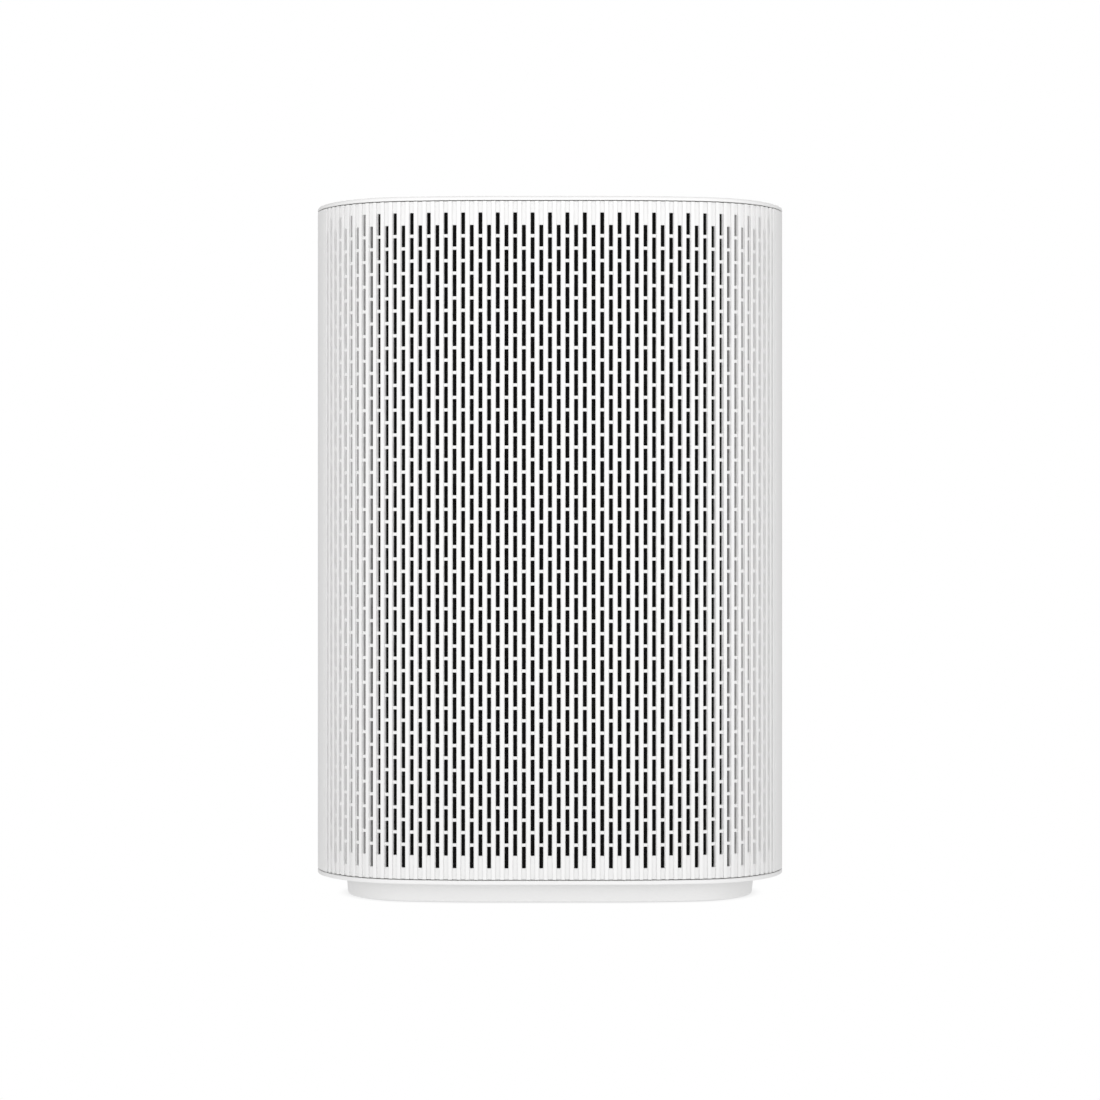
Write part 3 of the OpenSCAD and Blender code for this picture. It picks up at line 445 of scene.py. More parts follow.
class Nodes:
    """Adds nodes to one tree and links them, with values given by socket name."""

    def __init__(self, tree: bpy.types.NodeTree) -> None:
        """Works on one tree of nodes."""
        self.tree = tree

    def add(self, kind: str, sockets: dict[str | int, object] | None = None,
            **settings: object) -> bpy.types.Node:
        """Adds a node.

        Args:
            kind: The node's type name.
            sockets: Input sockets by name or number, with a value or an output socket to link.
            settings: The node's own settings.

        Returns:
            The node.
        """
        node = self.tree.nodes.new(kind)
        for name, value in settings.items():
            setattr(node, name, value)
        for name, value in (sockets or {}).items():
            if isinstance(value, bpy.types.NodeSocket):
                self.tree.links.new(value, node.inputs[name])
            else:
                node.inputs[name].default_value = value
        return node

    def math(self, operation: str, *values: object) -> bpy.types.NodeSocket:
        """Output of a Math node of one operation."""
        return self.add("ShaderNodeMath", dict(enumerate(values)), operation=operation).outputs[0]

    def noise(self, vector: object, scale: float, detail: float = 2.0) -> bpy.types.NodeSocket:
        """Noise in the range 0 to 1."""
        sockets = {"Vector": vector, "Scale": scale, "Detail": detail}
        return self.add("ShaderNodeTexNoise", sockets).outputs["Fac"]


Pair = tuple[bpy.types.NodeSocket, bpy.types.NodeSocket]


def draw_grain(nodes: Nodes, vector: bpy.types.NodeSocket) -> Pair:
    """Spark-eroded mould skin: fine noise for the relief, slow noise for the tone."""
    return nodes.noise(vector, 1.0, 3.0), nodes.noise(vector, 0.012, 4.0)


def draw_net(nodes: Nodes, vector: bpy.types.NodeSocket) -> Pair:
    """Woven net: threads stand where the sine of x or of z is small, and holes lie between them; the threads
    carry a painted highlight and the holes painted shade of the dark inside seen through them.
    """
    axes = nodes.add("ShaderNodeSeparateXYZ", {0: vector}).outputs
    bars = [nodes.math("ABSOLUTE", nodes.math("SINE", nodes.math("MULTIPLY", axis, math.pi)))
            for axis in (axes[0], axes[2])]
    hole = nodes.math("MINIMUM", *bars)
    # painted light: the mask is 1 in the holes, which take the darker colour as painted shade, and 0 on the
    # threads, which take the lighter colour as a painted highlight
    mask = nodes.add("ShaderNodeMapRange", {"Value": hole, "From Min": 0.3, "From Max": 0.75}).outputs[0]
    return nodes.math("SUBTRACT", 1.0, hole), mask


def draw_fibre(nodes: Nodes, vector: bpy.types.NodeSocket) -> Pair:
    """Felt of fine fibres: detailed noise in a warped space."""
    warp = nodes.add("ShaderNodeTexNoise", {"Vector": vector, "Scale": 0.4, "Detail": 2.0}).outputs["Color"]
    bent = nodes.add("ShaderNodeVectorMath", {0: vector, 1: warp}, operation="ADD").outputs[0]
    fine = nodes.noise(bent, 1.0, 8.0)
    return fine, nodes.math("MULTIPLY", fine, nodes.noise(vector, 0.05))


def draw_granule(nodes: Nodes, vector: bpy.types.NodeSocket) -> Pair:
    """Packed granules: the distance to the nearest of scattered centres, which also paints shade, darker
    towards the gaps between granules.
    """
    cells = nodes.add("ShaderNodeTexVoronoi", {"Vector": vector, "Scale": 1.0}).outputs
    # painted shade: the tone darkens with distance from a granule's middle, towards the low gaps between
    # granules
    return nodes.math("SUBTRACT", 1.0, cells["Distance"]), nodes.math("MULTIPLY", cells["Distance"], 0.9)


def draw_brushed(nodes: Nodes, vector: bpy.types.NodeSocket) -> Pair:
    """Brushed or drawn metal: noise stretched to long thin streaks."""
    stretch = (1.0, 0.04, 1.0)
    streak = nodes.add("ShaderNodeVectorMath", {0: vector, 1: stretch}, operation="MULTIPLY").outputs[0]
    return nodes.noise(streak, 1.0, 4.0), nodes.noise(streak, 0.3)


def draw_foam(nodes: Nodes, vector: bpy.types.NodeSocket) -> Pair:
    """Foam: small round cells of two sizes."""
    cells = nodes.add("ShaderNodeTexVoronoi", {"Vector": vector, "Scale": 1.0}, feature="SMOOTH_F1").outputs
    return cells["Distance"], nodes.noise(vector, 0.4, 3.0)


def draw_winding(nodes: Nodes, vector: bpy.types.NodeSocket) -> Pair:
    """Wound wire: rings round the Y axis, a sine of the distance from it."""
    axes = nodes.add("ShaderNodeSeparateXYZ", {0: vector}).outputs
    squares = [nodes.math("MULTIPLY", axis, axis) for axis in (axes[0], axes[2])]
    radius = nodes.math("SQRT", nodes.math("ADD", *squares))
    wave = nodes.math("SINE", nodes.math("MULTIPLY", radius, 2 * math.pi))
    height = nodes.math("MULTIPLY_ADD", wave, 0.5, 0.5)
    return height, nodes.math("MULTIPLY", height, nodes.noise(vector, 0.3))


def draw_board(nodes: Nodes, vector: bpy.types.NodeSocket) -> Pair:
    """Circuit board: raised tracks along the edges of square cells under the mask."""
    cells = nodes.add("ShaderNodeTexVoronoi", {"Vector": vector, "Scale": 0.25, "Randomness": 0.6},
                      distance="MANHATTAN", feature="F2").outputs["Distance"]
    step = nodes.math("SINE", nodes.math("MULTIPLY", cells, 9.0))
    track = nodes.add("ShaderNodeMapRange", {"Value": step, "From Min": 0.1, "From Max": 0.3}).outputs[0]
    return track, track


DRAWN: dict[Pattern, Callable[[Nodes, bpy.types.NodeSocket], Pair]] = {
    Pattern.GRAIN: draw_grain, Pattern.NET: draw_net, Pattern.FIBRE: draw_fibre,
    Pattern.GRANULE: draw_granule, Pattern.BRUSHED: draw_brushed, Pattern.FOAM: draw_foam,
    Pattern.WINDING: draw_winding, Pattern.BOARD: draw_board,
}


def pattern_group(pattern: Pattern) -> bpy.types.NodeTree:
    """The shader group of a pattern, made on first use.

    Args:
        pattern: The pattern.

    Returns:
        A group with inputs Vector and Scale and outputs Height and Mask, both from 0 to 1.
    """
    made = bpy.data.node_groups.get(pattern.value)
    if made is not None:
        return made
    tree = bpy.data.node_groups.new(pattern.value, "ShaderNodeTree")
    for name, way, kind in (("Vector", "INPUT", "NodeSocketVector"), ("Scale", "INPUT", "NodeSocketFloat"),
                            ("Height", "OUTPUT", "NodeSocketFloat"), ("Mask", "OUTPUT", "NodeSocketFloat")):
        tree.interface.new_socket(name, in_out=way, socket_type=kind)
    nodes = Nodes(tree)
    given = nodes.add("NodeGroupInput").outputs
    scaled = nodes.add("ShaderNodeVectorMath", {0: given["Vector"], "Scale": given["Scale"]},
                       operation="SCALE").outputs[0]
    height, mask = DRAWN[pattern](nodes, scaled)
    nodes.add("NodeGroupOutput", {"Height": height, "Mask": mask})
    return tree


Colour = tuple[float, float, float]
MIX_A, MIX_B, MIX_RESULT = 6, 7, 2  # a Mix node's colour sockets, which share their names with others


@dataclass(frozen=True)
class Finish:
    """One finish of the object's materials.

    Attributes:
        slot: The record's material slot.
        colour: Colour where the pattern's mask is 0.
        second: Colour where the mask is 1.
        rough: Roughness at mask 0 and at mask 1.
        pattern: The fine pattern.
        scale: Pattern cells per metre.
        relief: Height of the relief in metres.
        metallic: Share of metal.
        coat: Weight of a clear coat.
        specular: Level of the plain reflection.
        centre: Point that the pattern is centred on.
    """

    slot: str
    colour: Colour
    second: Colour
    rough: Span
    pattern: Pattern = Pattern.GRAIN
    scale: float = 3200.0
    relief: float = 0.00002
    metallic: float = 0.0
    coat: float = 0.0
    specular: float = 0.5
    centre: tuple[float, float, float] = (0.0, 0.0, 0.0)

    def material(self) -> bpy.types.Material:
        """The material of this finish, made on first use."""
        title = self.slot + "_finish"
        made = bpy.data.materials.get(title)
        if made is not None:
            return made
        material = bpy.data.materials.new(title)
        material.use_nodes = True
        nodes = Nodes(material.node_tree)
        shader = material.node_tree.nodes["Principled BSDF"]
        for name, level in (("Metallic", self.metallic), ("Coat Weight", self.coat),
                            ("Specular IOR Level", self.specular)):
            shader.inputs[name].default_value = level
        where = nodes.add("ShaderNodeTexCoord").outputs["Object"]
        offset = tuple(-part for part in self.centre)
        centred = nodes.add("ShaderNodeMapping", {"Vector": where, "Location": offset}).outputs[0]
        group = nodes.add("ShaderNodeGroup", {"Vector": centred, "Scale": self.scale},
                          node_tree=pattern_group(self.pattern)).outputs
        tone = nodes.add("ShaderNodeMix", {0: group["Mask"], MIX_A: (*self.colour, 1),
                                           MIX_B: (*self.second, 1)}, data_type="RGBA").outputs[MIX_RESULT]
        rough = nodes.add("ShaderNodeMapRange", {"Value": group["Mask"], "To Min": self.rough[0],
                                                 "To Max": self.rough[1]}).outputs[0]
        bump = nodes.add("ShaderNodeBump", {"Height": group["Height"], "Distance": self.relief,
                                            "Strength": 1.0}).outputs[0]
        for name, value in (("Base Color", tone), ("Roughness", rough), ("Normal", bump)):
            nodes.tree.links.new(value, shader.inputs[name])
        return material


FAN_CENTRE = tuple((low + high) / 2 for low, high in zip(*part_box("rotor_shaft")))


def shade(value: float, cool: float = 0.0) -> Colour:
    """A grey of one value, a little bluer as cool grows."""
    return (value - cool, value, value + cool)


FINISHES = {finish.slot: finish for finish in (
    Finish("shell_white", shade(0.77, -0.002), shade(0.75, -0.002), (0.42, 0.5), coat=0.05),
    Finish("grille_white", shade(0.75, -0.002), shade(0.72, -0.002), (0.46, 0.55)),
    Finish("strip_grey", shade(0.55, 0.005), shade(0.5, 0.005), (0.38, 0.48), coat=0.1),
    Finish("button_white", shade(0.87), shade(0.83), (0.35, 0.45), coat=0.15),
    Finish("light_lens", (0.62, 0.8, 0.76), (0.5, 0.7, 0.66), (0.12, 0.2), coat=0.5),
    # mesh_black: the lighter first colour on the threads is a painted highlight, the darker second colour in
    # the holes is painted shade of the inside seen through the net
    Finish("mesh_black", shade(0.012), shade(0.003), (0.8, 0.95), Pattern.NET, 900.0, 0.0003,
           specular=0.05),
    Finish("frame_black", shade(0.025), shade(0.04), (0.45, 0.6)),
    Finish("cartridge_grey", shade(0.62, 0.005), shade(0.56, 0.005), (0.5, 0.6)),
    Finish("media_white", shade(0.84), (0.74, 0.73, 0.69), (0.85, 0.95), Pattern.FIBRE, 1400.0, 0.0001),
    # carbon_black: the darker second colour is painted shade in the gaps between granules
    Finish("carbon_black", shade(0.03), shade(0.004), (0.55, 0.8), Pattern.GRANULE, 700.0, 0.0006),
    Finish("foam_grey", shade(0.06), shade(0.1), (0.85, 0.95), Pattern.FOAM, 1500.0, 0.0002),
    Finish("chassis_grey", shade(0.36, 0.008), shade(0.31, 0.008), (0.5, 0.62)),
    Finish("wheel_black", shade(0.03, 0.002), shade(0.05, 0.002), (0.45, 0.6)),
    Finish("steel", shade(0.5), shade(0.38), (0.3, 0.42), Pattern.BRUSHED, 4000.0, 0.00001, 1.0),
    Finish("zinc", (0.6, 0.6, 0.56), (0.46, 0.47, 0.47), (0.25, 0.4), Pattern.BRUSHED, 2500.0, 0.00001, 1.0),
    Finish("magnet_grey", shade(0.3), shade(0.22), (0.3, 0.4), Pattern.BRUSHED, 3000.0, 0.00001, 0.9),
    Finish("copper", (0.6, 0.22, 0.08), (0.25, 0.08, 0.03), (0.3, 0.5), Pattern.WINDING, 1600.0, 0.0002, 0.8,
           centre=FAN_CENTRE),
    Finish("board_green", (0.01, 0.09, 0.04), (0.02, 0.16, 0.07), (0.3, 0.4), Pattern.BOARD, 900.0, 0.00005,
           coat=0.3),
    Finish("black_part", shade(0.012), shade(0.022), (0.35, 0.5)),
    Finish("rubber", shade(0.02), shade(0.03), (0.75, 0.9), relief=0.00005),
)}
SLOT_OF = {part["node"]: part["material_slot"] for part in frame["record"]["subparts"]}


# ---- Pieces --------------------------------------------------------------------------------------


def finish_piece(mesh: bpy.types.Mesh, name: str, nodes: tuple[str, ...], ease: float = 0.0,
                 smooth: bool = True) -> bpy.types.Object:
    """Makes a mesh a piece that stands for CAD nodes and rides on their body.

    Args:
        mesh: The mesh, in the frame's axes.
        name: Name of the piece.
        nodes: The CAD nodes that it stands for, all on one body.
        ease: Radius that its sharp edges are rounded by.
        smooth: Whether its curved faces are shaded smooth.

    Returns:
        The piece.
    """
    piece = bpy.data.objects.new(name, mesh)
    bpy.context.scene.collection.objects.link(piece)
    mesh.polygons.foreach_set("use_smooth", np.full(len(mesh.polygons), smooth))
    if smooth:
        mesh.set_sharp_from_angle(angle=SMOOTH_ANGLE)
    if ease:
        bevel = piece.modifiers.new("EasedEdges", "BEVEL")
        bevel.width, bevel.segments = ease, 2
        bevel.limit_method, bevel.angle_limit = "ANGLE", SMOOTH_ANGLE
        bevel.miter_outer = "MITER_ARC"
    if smooth:
        weighted = piece.modifiers.new("FlatFaces", "WEIGHTED_NORMAL")
        weighted.keep_sharp = not ease
    slot = SLOT_OF[nodes[0]]
    mesh.materials.clear()
    mesh.materials.append(FINISHES[slot].material())
    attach(piece, frame["nodes"][nodes[0]]["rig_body"])
    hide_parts(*nodes)
    log.info("%s: %d faces for %s", name, len(mesh.polygons), ", ".join(nodes))
    return piece


def eased_copy(node: str, ease: float) -> bpy.types.Object:
    """A copy of a CAD node's mesh, merged, its flats joined and its edges rounded.

    Args:
        node: The CAD node.
        ease: Radius of the rounded edges.

    Returns:
        The piece.
    """
    mesh = frame["nodes"][node].data.copy()
    stored = mesh.attributes.get("custom_normal")
    if stored is not None:
        mesh.attributes.remove(stored)
    merge, flat = 2e-6, math.radians(0.3)
    copy = bmesh.new()
    copy.from_mesh(mesh)
    bmesh.ops.remove_doubles(copy, verts=copy.verts, dist=merge)
    bmesh.ops.dissolve_limit(copy, angle_limit=flat, verts=copy.verts, edges=copy.edges)
    copy.to_mesh(mesh)
    copy.free()
    return finish_piece(mesh, node + "_finished", (node,), ease)


@dataclass
class IntakePanel:
    """Ribbed panel with a staggered field of slots in the floors of its grooves.

    Attributes:
        outline: The cabinet's outline.
        ribs: Ribs across the panel.
        wall: Wall over a rib.
        groove_w: Width of a groove.
        groove_d: Depth of a groove.
        edge_r: Radius of a rib's edges.
        slot_w: Width of a slot.
        slot_h: Height of a slot.
        bridge_h: Bridge between two slots of a column.
        corner: Cut corners of a slot.
        chamfer: Chamfer round a slot's mouth.
        plain_band: Least plain band over and under the slots.
        flange: Width and height of the stiffening flanges, whose inner faces stand short of the magnets.
        flange_stop: How far in front of the panel's side edges the flanges end.
        flange_steps: Steps along a flange.
    """

    outline: Outline
    ribs: int = 60
    wall: float = 0.0035
    groove_w: float = 0.0032
    groove_d: float = 0.0014
    edge_r: float = 0.0003
    slot_w: float = 0.0026
    slot_h: float = 0.0145
    bridge_h: float = 0.002
    corner: float = 0.00035
    chamfer: float = 0.0001
    plain_band: float = 0.0072
    flange: Span = (0.0043, 0.0045)
    flange_stop: float = 0.008
    flange_steps: int = 120

    def __post_init__(self) -> None:
        """Takes the panel's height from the frame and lays out its columns and rows."""
        low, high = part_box("front_panel")
        self.z0, self.z1 = low.z, high.z
        self.mouth = self.slot_w / 2 + self.chamfer
        self.pitch = self.outline.parting_s / (self.ribs // 2)
        self.columns = np.arange(1 - self.ribs // 2, self.ribs // 2)
        self.slot_pitch = self.slot_h + self.bridge_h
        room = self.z1 - self.z0 - 2 * self.plain_band - self.slot_pitch / 2 + self.bridge_h
        self.rows = math.floor(room / self.slot_pitch)
        field_h = self.rows * self.slot_pitch - self.bridge_h + self.slot_pitch / 2
        self.first = self.z0 + (self.z1 - self.z0 - field_h) / 2

    def heights(self, odd: bool) -> Floats:
        """Heights of the panel's ends and of the slots' ends in an odd or an even column."""
        start = self.first + (0.0 if odd else self.slot_pitch / 2)
        bottoms = start + self.slot_pitch * np.arange(self.rows)
        ends = np.stack([bottoms, bottoms + self.slot_h], axis=1).ravel()
        return np.concatenate([[self.z0], ends, [self.z1]])

    def groove(self) -> Floats:
        """Half a groove's section from rib to slot: a quarter round, the groove's wall and its floor."""
        round_edge = arc((-self.groove_w / 2 - self.edge_r, self.edge_r), self.edge_r, -90, 0, 2)
        floor = [[-self.groove_w / 2, self.groove_d], [-self.mouth, self.groove_d]]
        return np.concatenate([round_edge, floor])

    def column(self, shape: Shape, odd: bool) -> None:
        """Adds all columns of one parity: the grooves, the slots' mouths and walls, and the inner skin.

        Everything is laid out as length along the skin, depth under it and height, and then placed by
        the outline's own formula.

        Args:
            shape: Where the surfaces go.
            odd: Whether these are the odd columns.
        """
        along = self.pitch * self.columns[self.columns % 2 == int(odd)][:, None, None]
        z = self.heights(odd)
        half = self.groove()
        section = np.concatenate([half, half[::-1] * [-1, 1]])
        open_cells = np.zeros((len(section) - 1, len(z) - 1), bool)
        open_cells[len(half) - 1, 1::2] = True
        open_cells[:, -1] = False
        skin = self.outline.place(along + section[None, :, None, 0], section[None, :, None, 1], z)
        edges = np.array([-self.mouth, self.mouth])
        inner = self.outline.place(along + edges[None, :, None], self.wall, z)
        inner_open = np.zeros((1, len(z) - 1), bool)
        inner_open[0, 1:-1:2] = True
        for outside, inside in zip(skin, inner):
            shape.sheet(outside, ~open_cells)
            shape.sheet(inside, ~inner_open)
        self.slots(shape, along.reshape(-1, 1, 1), z[1:-1:2])

    def slots(self, shape: Shape, along: Floats, bottoms: Floats) -> None:
        """Adds the mouths and walls of slots: rectangle, eight-sided hole, the same below, rectangle.

        Args:
            shape: Where the surfaces go.
            along: Lengths of the columns, with two empty axes after them.
            bottoms: Heights of the slots' lower ends.
        """
        side, end, cut, lip = self.slot_w / 2, self.slot_h / 2, self.corner, self.chamfer
        signs = np.array([[-1, -1], [1, -1], [1, 1], [-1, 1]])
        mouth = signs * [self.mouth, end]
        top = end - lip / 4
        hole = np.array([[-side, cut - top], [cut - side, -top], [side - cut, -top], [side, cut - top],
                         [side, top - cut], [side - cut, top], [cut - side, top], [-side, top - cut]])
        loops = ((mouth, self.groove_d), (hole, self.groove_d + lip), (hole, self.wall - lip),
                 (mouth, self.wall))
        flat = np.concatenate([np.insert(loop, 2, depth, axis=1) for loop, depth in loops])
        middle = bottoms[None, :, None] + end
        points = self.outline.place(along + flat[None, None, :, 0], flat[None, None, :, 2],
                                    middle + flat[None, None, :, 1])
        corner, ring = np.arange(4), np.arange(8)
        next_corner, next_ring = (corner + 1) % 4, (ring + 1) % 8
        upper, lower, back = 4, 12, 20  # where the upper hole, the lower hole and the last mouth start
        triangles = []
        quads = [np.stack([upper + ring, upper + next_ring, lower + next_ring, lower + ring], 1)]
        for square, eight in ((0, upper), (back, lower)):
            cut_start, cut_end = eight + 2 * corner, eight + 2 * corner + 1
            triangles.append(np.stack([square + corner, cut_start, cut_end], 1))
            quads.append(np.stack([square + corner, cut_end, eight + 2 * next_corner,
                                   square + next_corner], 1))
        shape.repeat(points.reshape(-1, *flat.shape), np.concatenate(triangles), np.concatenate(quads))

    def zipper(self, left: Floats, right: Floats) -> Ints:
        """Triangles that fill the strip between two upright lines with different heights on them.

        Each interval of one line takes as its third corner the point of the other line that a walk up
        both lines, always to the nearer next point, has reached.

        Args:
            left: Heights on the left line, rising.
            right: Heights on the right line, with the same ends.

        Returns:
            Indices into the left line's points followed by the right line's.
        """
        on_left, on_right = np.arange(len(left) - 1), len(left) + np.arange(len(right) - 1)
        opposite_right = np.searchsorted(right, left[1:] - WELD, side="left") - 1
        opposite_left = np.searchsorted(left, right[1:] + WELD, side="right") - 1
        first = np.stack([on_left, on_left + 1, len(left) + np.clip(opposite_right, 0, None)], 1)
        second = np.stack([on_right + 1, on_right, np.clip(opposite_left, 0, None)], 1)
        return np.concatenate([first, second])

    def strip(self, shape: Shape, starts: Floats, ends: Floats, depth: float,
              heights: tuple[Floats, Floats]) -> None:
        """Adds strips between pairs of upright lines.

        Args:
            shape: Where the strips go.
            starts: Lengths s of the left lines.
            ends: Lengths s of the right lines.
            depth: Depth under the skin.
            heights: Heights on the left and on the right lines.
        """
        left = self.outline.place(starts[:, None], depth, heights[0][None])
        right = self.outline.place(ends[:, None], depth, heights[1][None])
        shape.repeat(np.concatenate([left, right], axis=1), self.zipper(*heights))

    def ribs_between(self, shape: Shape) -> None:
        """Adds the ribs' tops and the inner skin behind them, and closes them at the two ends."""
        skins = ((self.groove_w / 2 + self.edge_r, 0.0), (self.mouth, self.wall))
        last = self.columns[-1]
        for reach, depth in skins:
            for odd in (False, True):
                column = self.columns[(self.columns % 2 == int(odd)) & (self.columns < last)]
                self.strip(shape, column * self.pitch + reach, (column + 1) * self.pitch - reach, depth,
                           (self.heights(odd), self.heights(not odd)))
        ends = np.array([self.z0, self.z1])
        heights = (self.heights(bool(last % 2)), ends)
        y_end = self.outline.parting_y - self.outline.seam / 2
        edge = np.array([float(self.outline.at_depth(y_end, depth)) for _, depth in skins])
        for (reach, depth), end in zip(skins, edge):
            start = np.array([last * self.pitch + reach])
            for side in (1, -1):
                self.strip(shape, side * start, side * end[None], depth, heights)
        for side in (-1, 1):
            shape.sheet(self.outline.place(side * edge[:, None], np.array([[0.0], [self.wall]]), ends))
            for z in ends:
                self.end_cap(shape, side, (edge[0], edge[1]), z)

    def end_cap(self, shape: Shape, side: int, end: Span, z: float) -> None:
        """Closes the last half rib's section at one height, as a fan from its inner end.

        Args:
            shape: Where the cap goes.
            side: -1 on the left and 1 on the right.
            end: Lengths s of the outer and of the inner end.
            z: Height.
        """
        last = self.columns[-1] * self.pitch
        half = self.groove()[-2::-1] * [-1, 1]
        section = np.concatenate([[[end[1], self.wall], [last + self.mouth, self.wall]],
                                  half + [last, 0], [[end[0], 0.0]]])
        shape.fan(self.outline.place(side * section[:, 0], section[:, 1], z))

    def caps(self, shape: Shape) -> None:
        """Closes the section of the grooves and ribs at the panel's top and bottom edges."""
        flank = self.groove()[:-1]
        mouth, foot = self.mouth, flank[-1, 0]
        s = self.columns * self.pitch
        step = np.arange(len(flank) - 1)
        rib = np.stack([step, step + 1, len(flank) + step + 1, len(flank) + step], 1)
        floor = np.array([[foot, self.groove_d], [-mouth, self.groove_d], [mouth, self.groove_d],
                          [-foot, self.groove_d], [-mouth, self.wall], [mouth, self.wall]])
        for z in (self.z0, self.z1):
            shape.repeat(self.outline.place(s[:, None] + floor[None, :, 0], floor[None, :, 1], z),
                         np.array([[0, 1, 4], [2, 3, 5]]), np.array([[1, 2, 5, 4]]))
            right = self.outline.place(s[:-1, None] - flank[None, :, 0], flank[None, :, 1], z)
            left = self.outline.place(s[1:, None] + flank[None, :, 0], flank[None, :, 1], z)
            shape.repeat(np.concatenate([right, left], axis=1), rib)
            shape.quads(right[:, -1], left[:, -1], self.outline.place(s[1:] - mouth, self.wall, z),
                        self.outline.place(s[:-1] + mouth, self.wall, z))

    def flanges(self, shape: Shape) -> None:
        """Adds the stiffening flanges inside the panel's top and bottom edges."""
        under_skin = 0.004
        reach = float(self.outline.at_depth(self.outline.parting_y - self.flange_stop, under_skin))
        s = np.linspace(-reach, reach, self.flange_steps + 1)[:, None]
        for low in (self.z0 + OVERLAP, self.z1 - self.flange[1]):
            z = np.array([low, low + self.flange[1] - OVERLAP])
            shape.slab(self.outline.place(s, self.wall - OVERLAP, z),
                       self.outline.place(s, self.wall + self.flange[0], z))

    def build(self) -> bpy.types.Object:
        """Builds the panel."""
        shape = Shape()
        for odd in (True, False):
            self.column(shape, odd)
        self.ribs_between(shape)
        self.caps(shape)
        self.flanges(shape)
        return finish_piece(shape.mesh("intake_panel"), "intake_panel", ("front_panel",), smooth=False)


@dataclass
class RearShell:
    """Smooth housing round the sides and the back, with its openings and the lips behind the panel.

    Attributes:
        outline: The cabinet's outline.
        wall: Wall of the housing.
        ease: Radius of the eased edges.
        steps: Steps from one front edge round the back to the other.
        vents: Number of vent slots over the air sensor.
        vent_w: Width of a vent slot.
        vent_h: Height of a vent slot.
        vent_pitch: Distance between vent slots.
        lip_insets: Insets of the outer and inner face of the lip that the panel laps over.
        lip_front: How far the lip reaches in front of the joint.
        lip_back: How far its root reaches behind the joint, inside the wall.
        lip_join: How far the lip runs into its root.
    """

    outline: Outline
    wall: float = 0.003
    ease: float = 0.0004
    steps: int = 180
    vents: int = 8
    vent_w: float = 0.0018
    vent_h: float = 0.018
    vent_pitch: float = 0.004
    lip_insets: Span = (0.004, 0.0059)
    lip_front: float = 0.005
    lip_back: float = 0.007
    lip_join: float = 0.0015

    def openings(self) -> list[tuple[float, float, float, float]]:
        """Least x, greatest x, lowest z and highest z of each opening in the back."""
        low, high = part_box("handle_cup")
        cup_wall, undercut = 0.002, 0.010
        mouth = (low.x + cup_wall, high.x - cup_wall, low.z + cup_wall, high.z - cup_wall - undercut)
        low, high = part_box("power_inlet")
        flange = 0.003 - CLEARANCE
        inlet = (low.x + flange, high.x - flange, low.z + flange, high.z - flange)
        low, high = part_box("air_sensor")
        middle = (low.z + high.z) / 2
        ends = (middle - self.vent_h / 2, middle + self.vent_h / 2)
        places = (np.arange(self.vents) - (self.vents - 1) / 2) * self.vent_pitch
        return [mouth, inlet, *((x - self.vent_w / 2, x + self.vent_w / 2, *ends) for x in places)]

    def lip(self, shape: Shape, side: int, y: Span, insets: Span, z: Span) -> None:
        """Adds an upright curved bar between two depths and two insets.

        Args:
            shape: Where it goes.
            side: -1 on the left and 1 on the right.
            y: Depths of its ends.
            insets: Insets of its outer and inner faces.
            z: Heights of its ends.
        """
        depths = np.linspace(*y, num=8)
        shape.slab(*(self.outline.place(side * self.outline.at_depth(depths, inset)[:, None], inset,
                                        np.array(z)) for inset in insets))

    def build(self) -> bpy.types.Object:
        """Builds the housing."""
        low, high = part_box("rear_housing")
        parting_y = self.outline.parting_y
        front_y = parting_y + self.outline.seam / 2
        end = [2 * self.outline.quarter - float(self.outline.at_depth(front_y, inset))
               for inset in (0.0, self.wall)]
        holes = self.openings()
        fixed = self.outline.behind_x(np.array([x for hole in holes for x in hole[:2]]))
        free = np.linspace(-end[0], end[0], self.steps + 1)
        apart = 0.0004
        free = free[np.abs(free[:, None] - fixed[None, :]).min(axis=1) > apart]
        t = np.unique(np.concatenate([free, fixed]))
        t_inner = np.clip(t, -end[1], end[1])
        z = np.unique(np.round([low.z, high.z, *(level for hole in holes for level in hole[2:])], 6))
        outer = self.outline.place(self.outline.from_back(t)[:, None], 0.0, z)
        inner = self.outline.place(self.outline.from_back(t_inner)[:, None], self.wall, z)
        middle_t, middle_z = (t[1:] + t[:-1])[:, None] / 2, (z[1:] + z[:-1])[None] / 2
        keep = np.ones((len(t) - 1, len(z) - 1), bool)
        for left, right, bottom, top in holes:
            sides = self.outline.behind_x(np.array([left, right]))
            keep &= ~((middle_t > sides[0]) & (middle_t < sides[1]) & (middle_z > bottom) & (middle_z < top))
        shape = Shape()
        shape.slab(outer, inner, keep)
        bite = 0.0005
        for side in (-1, 1):
            self.lip(shape, side, (front_y, parting_y + self.lip_back),
                     (self.wall - bite, self.lip_insets[1]), (low.z, high.z))
            self.lip(shape, side, (parting_y - self.lip_front, parting_y + self.lip_join),
                     self.lip_insets, (low.z, high.z))
        return finish_piece(shape.mesh("rear_shell"), "rear_shell", ("rear_housing",), self.ease)


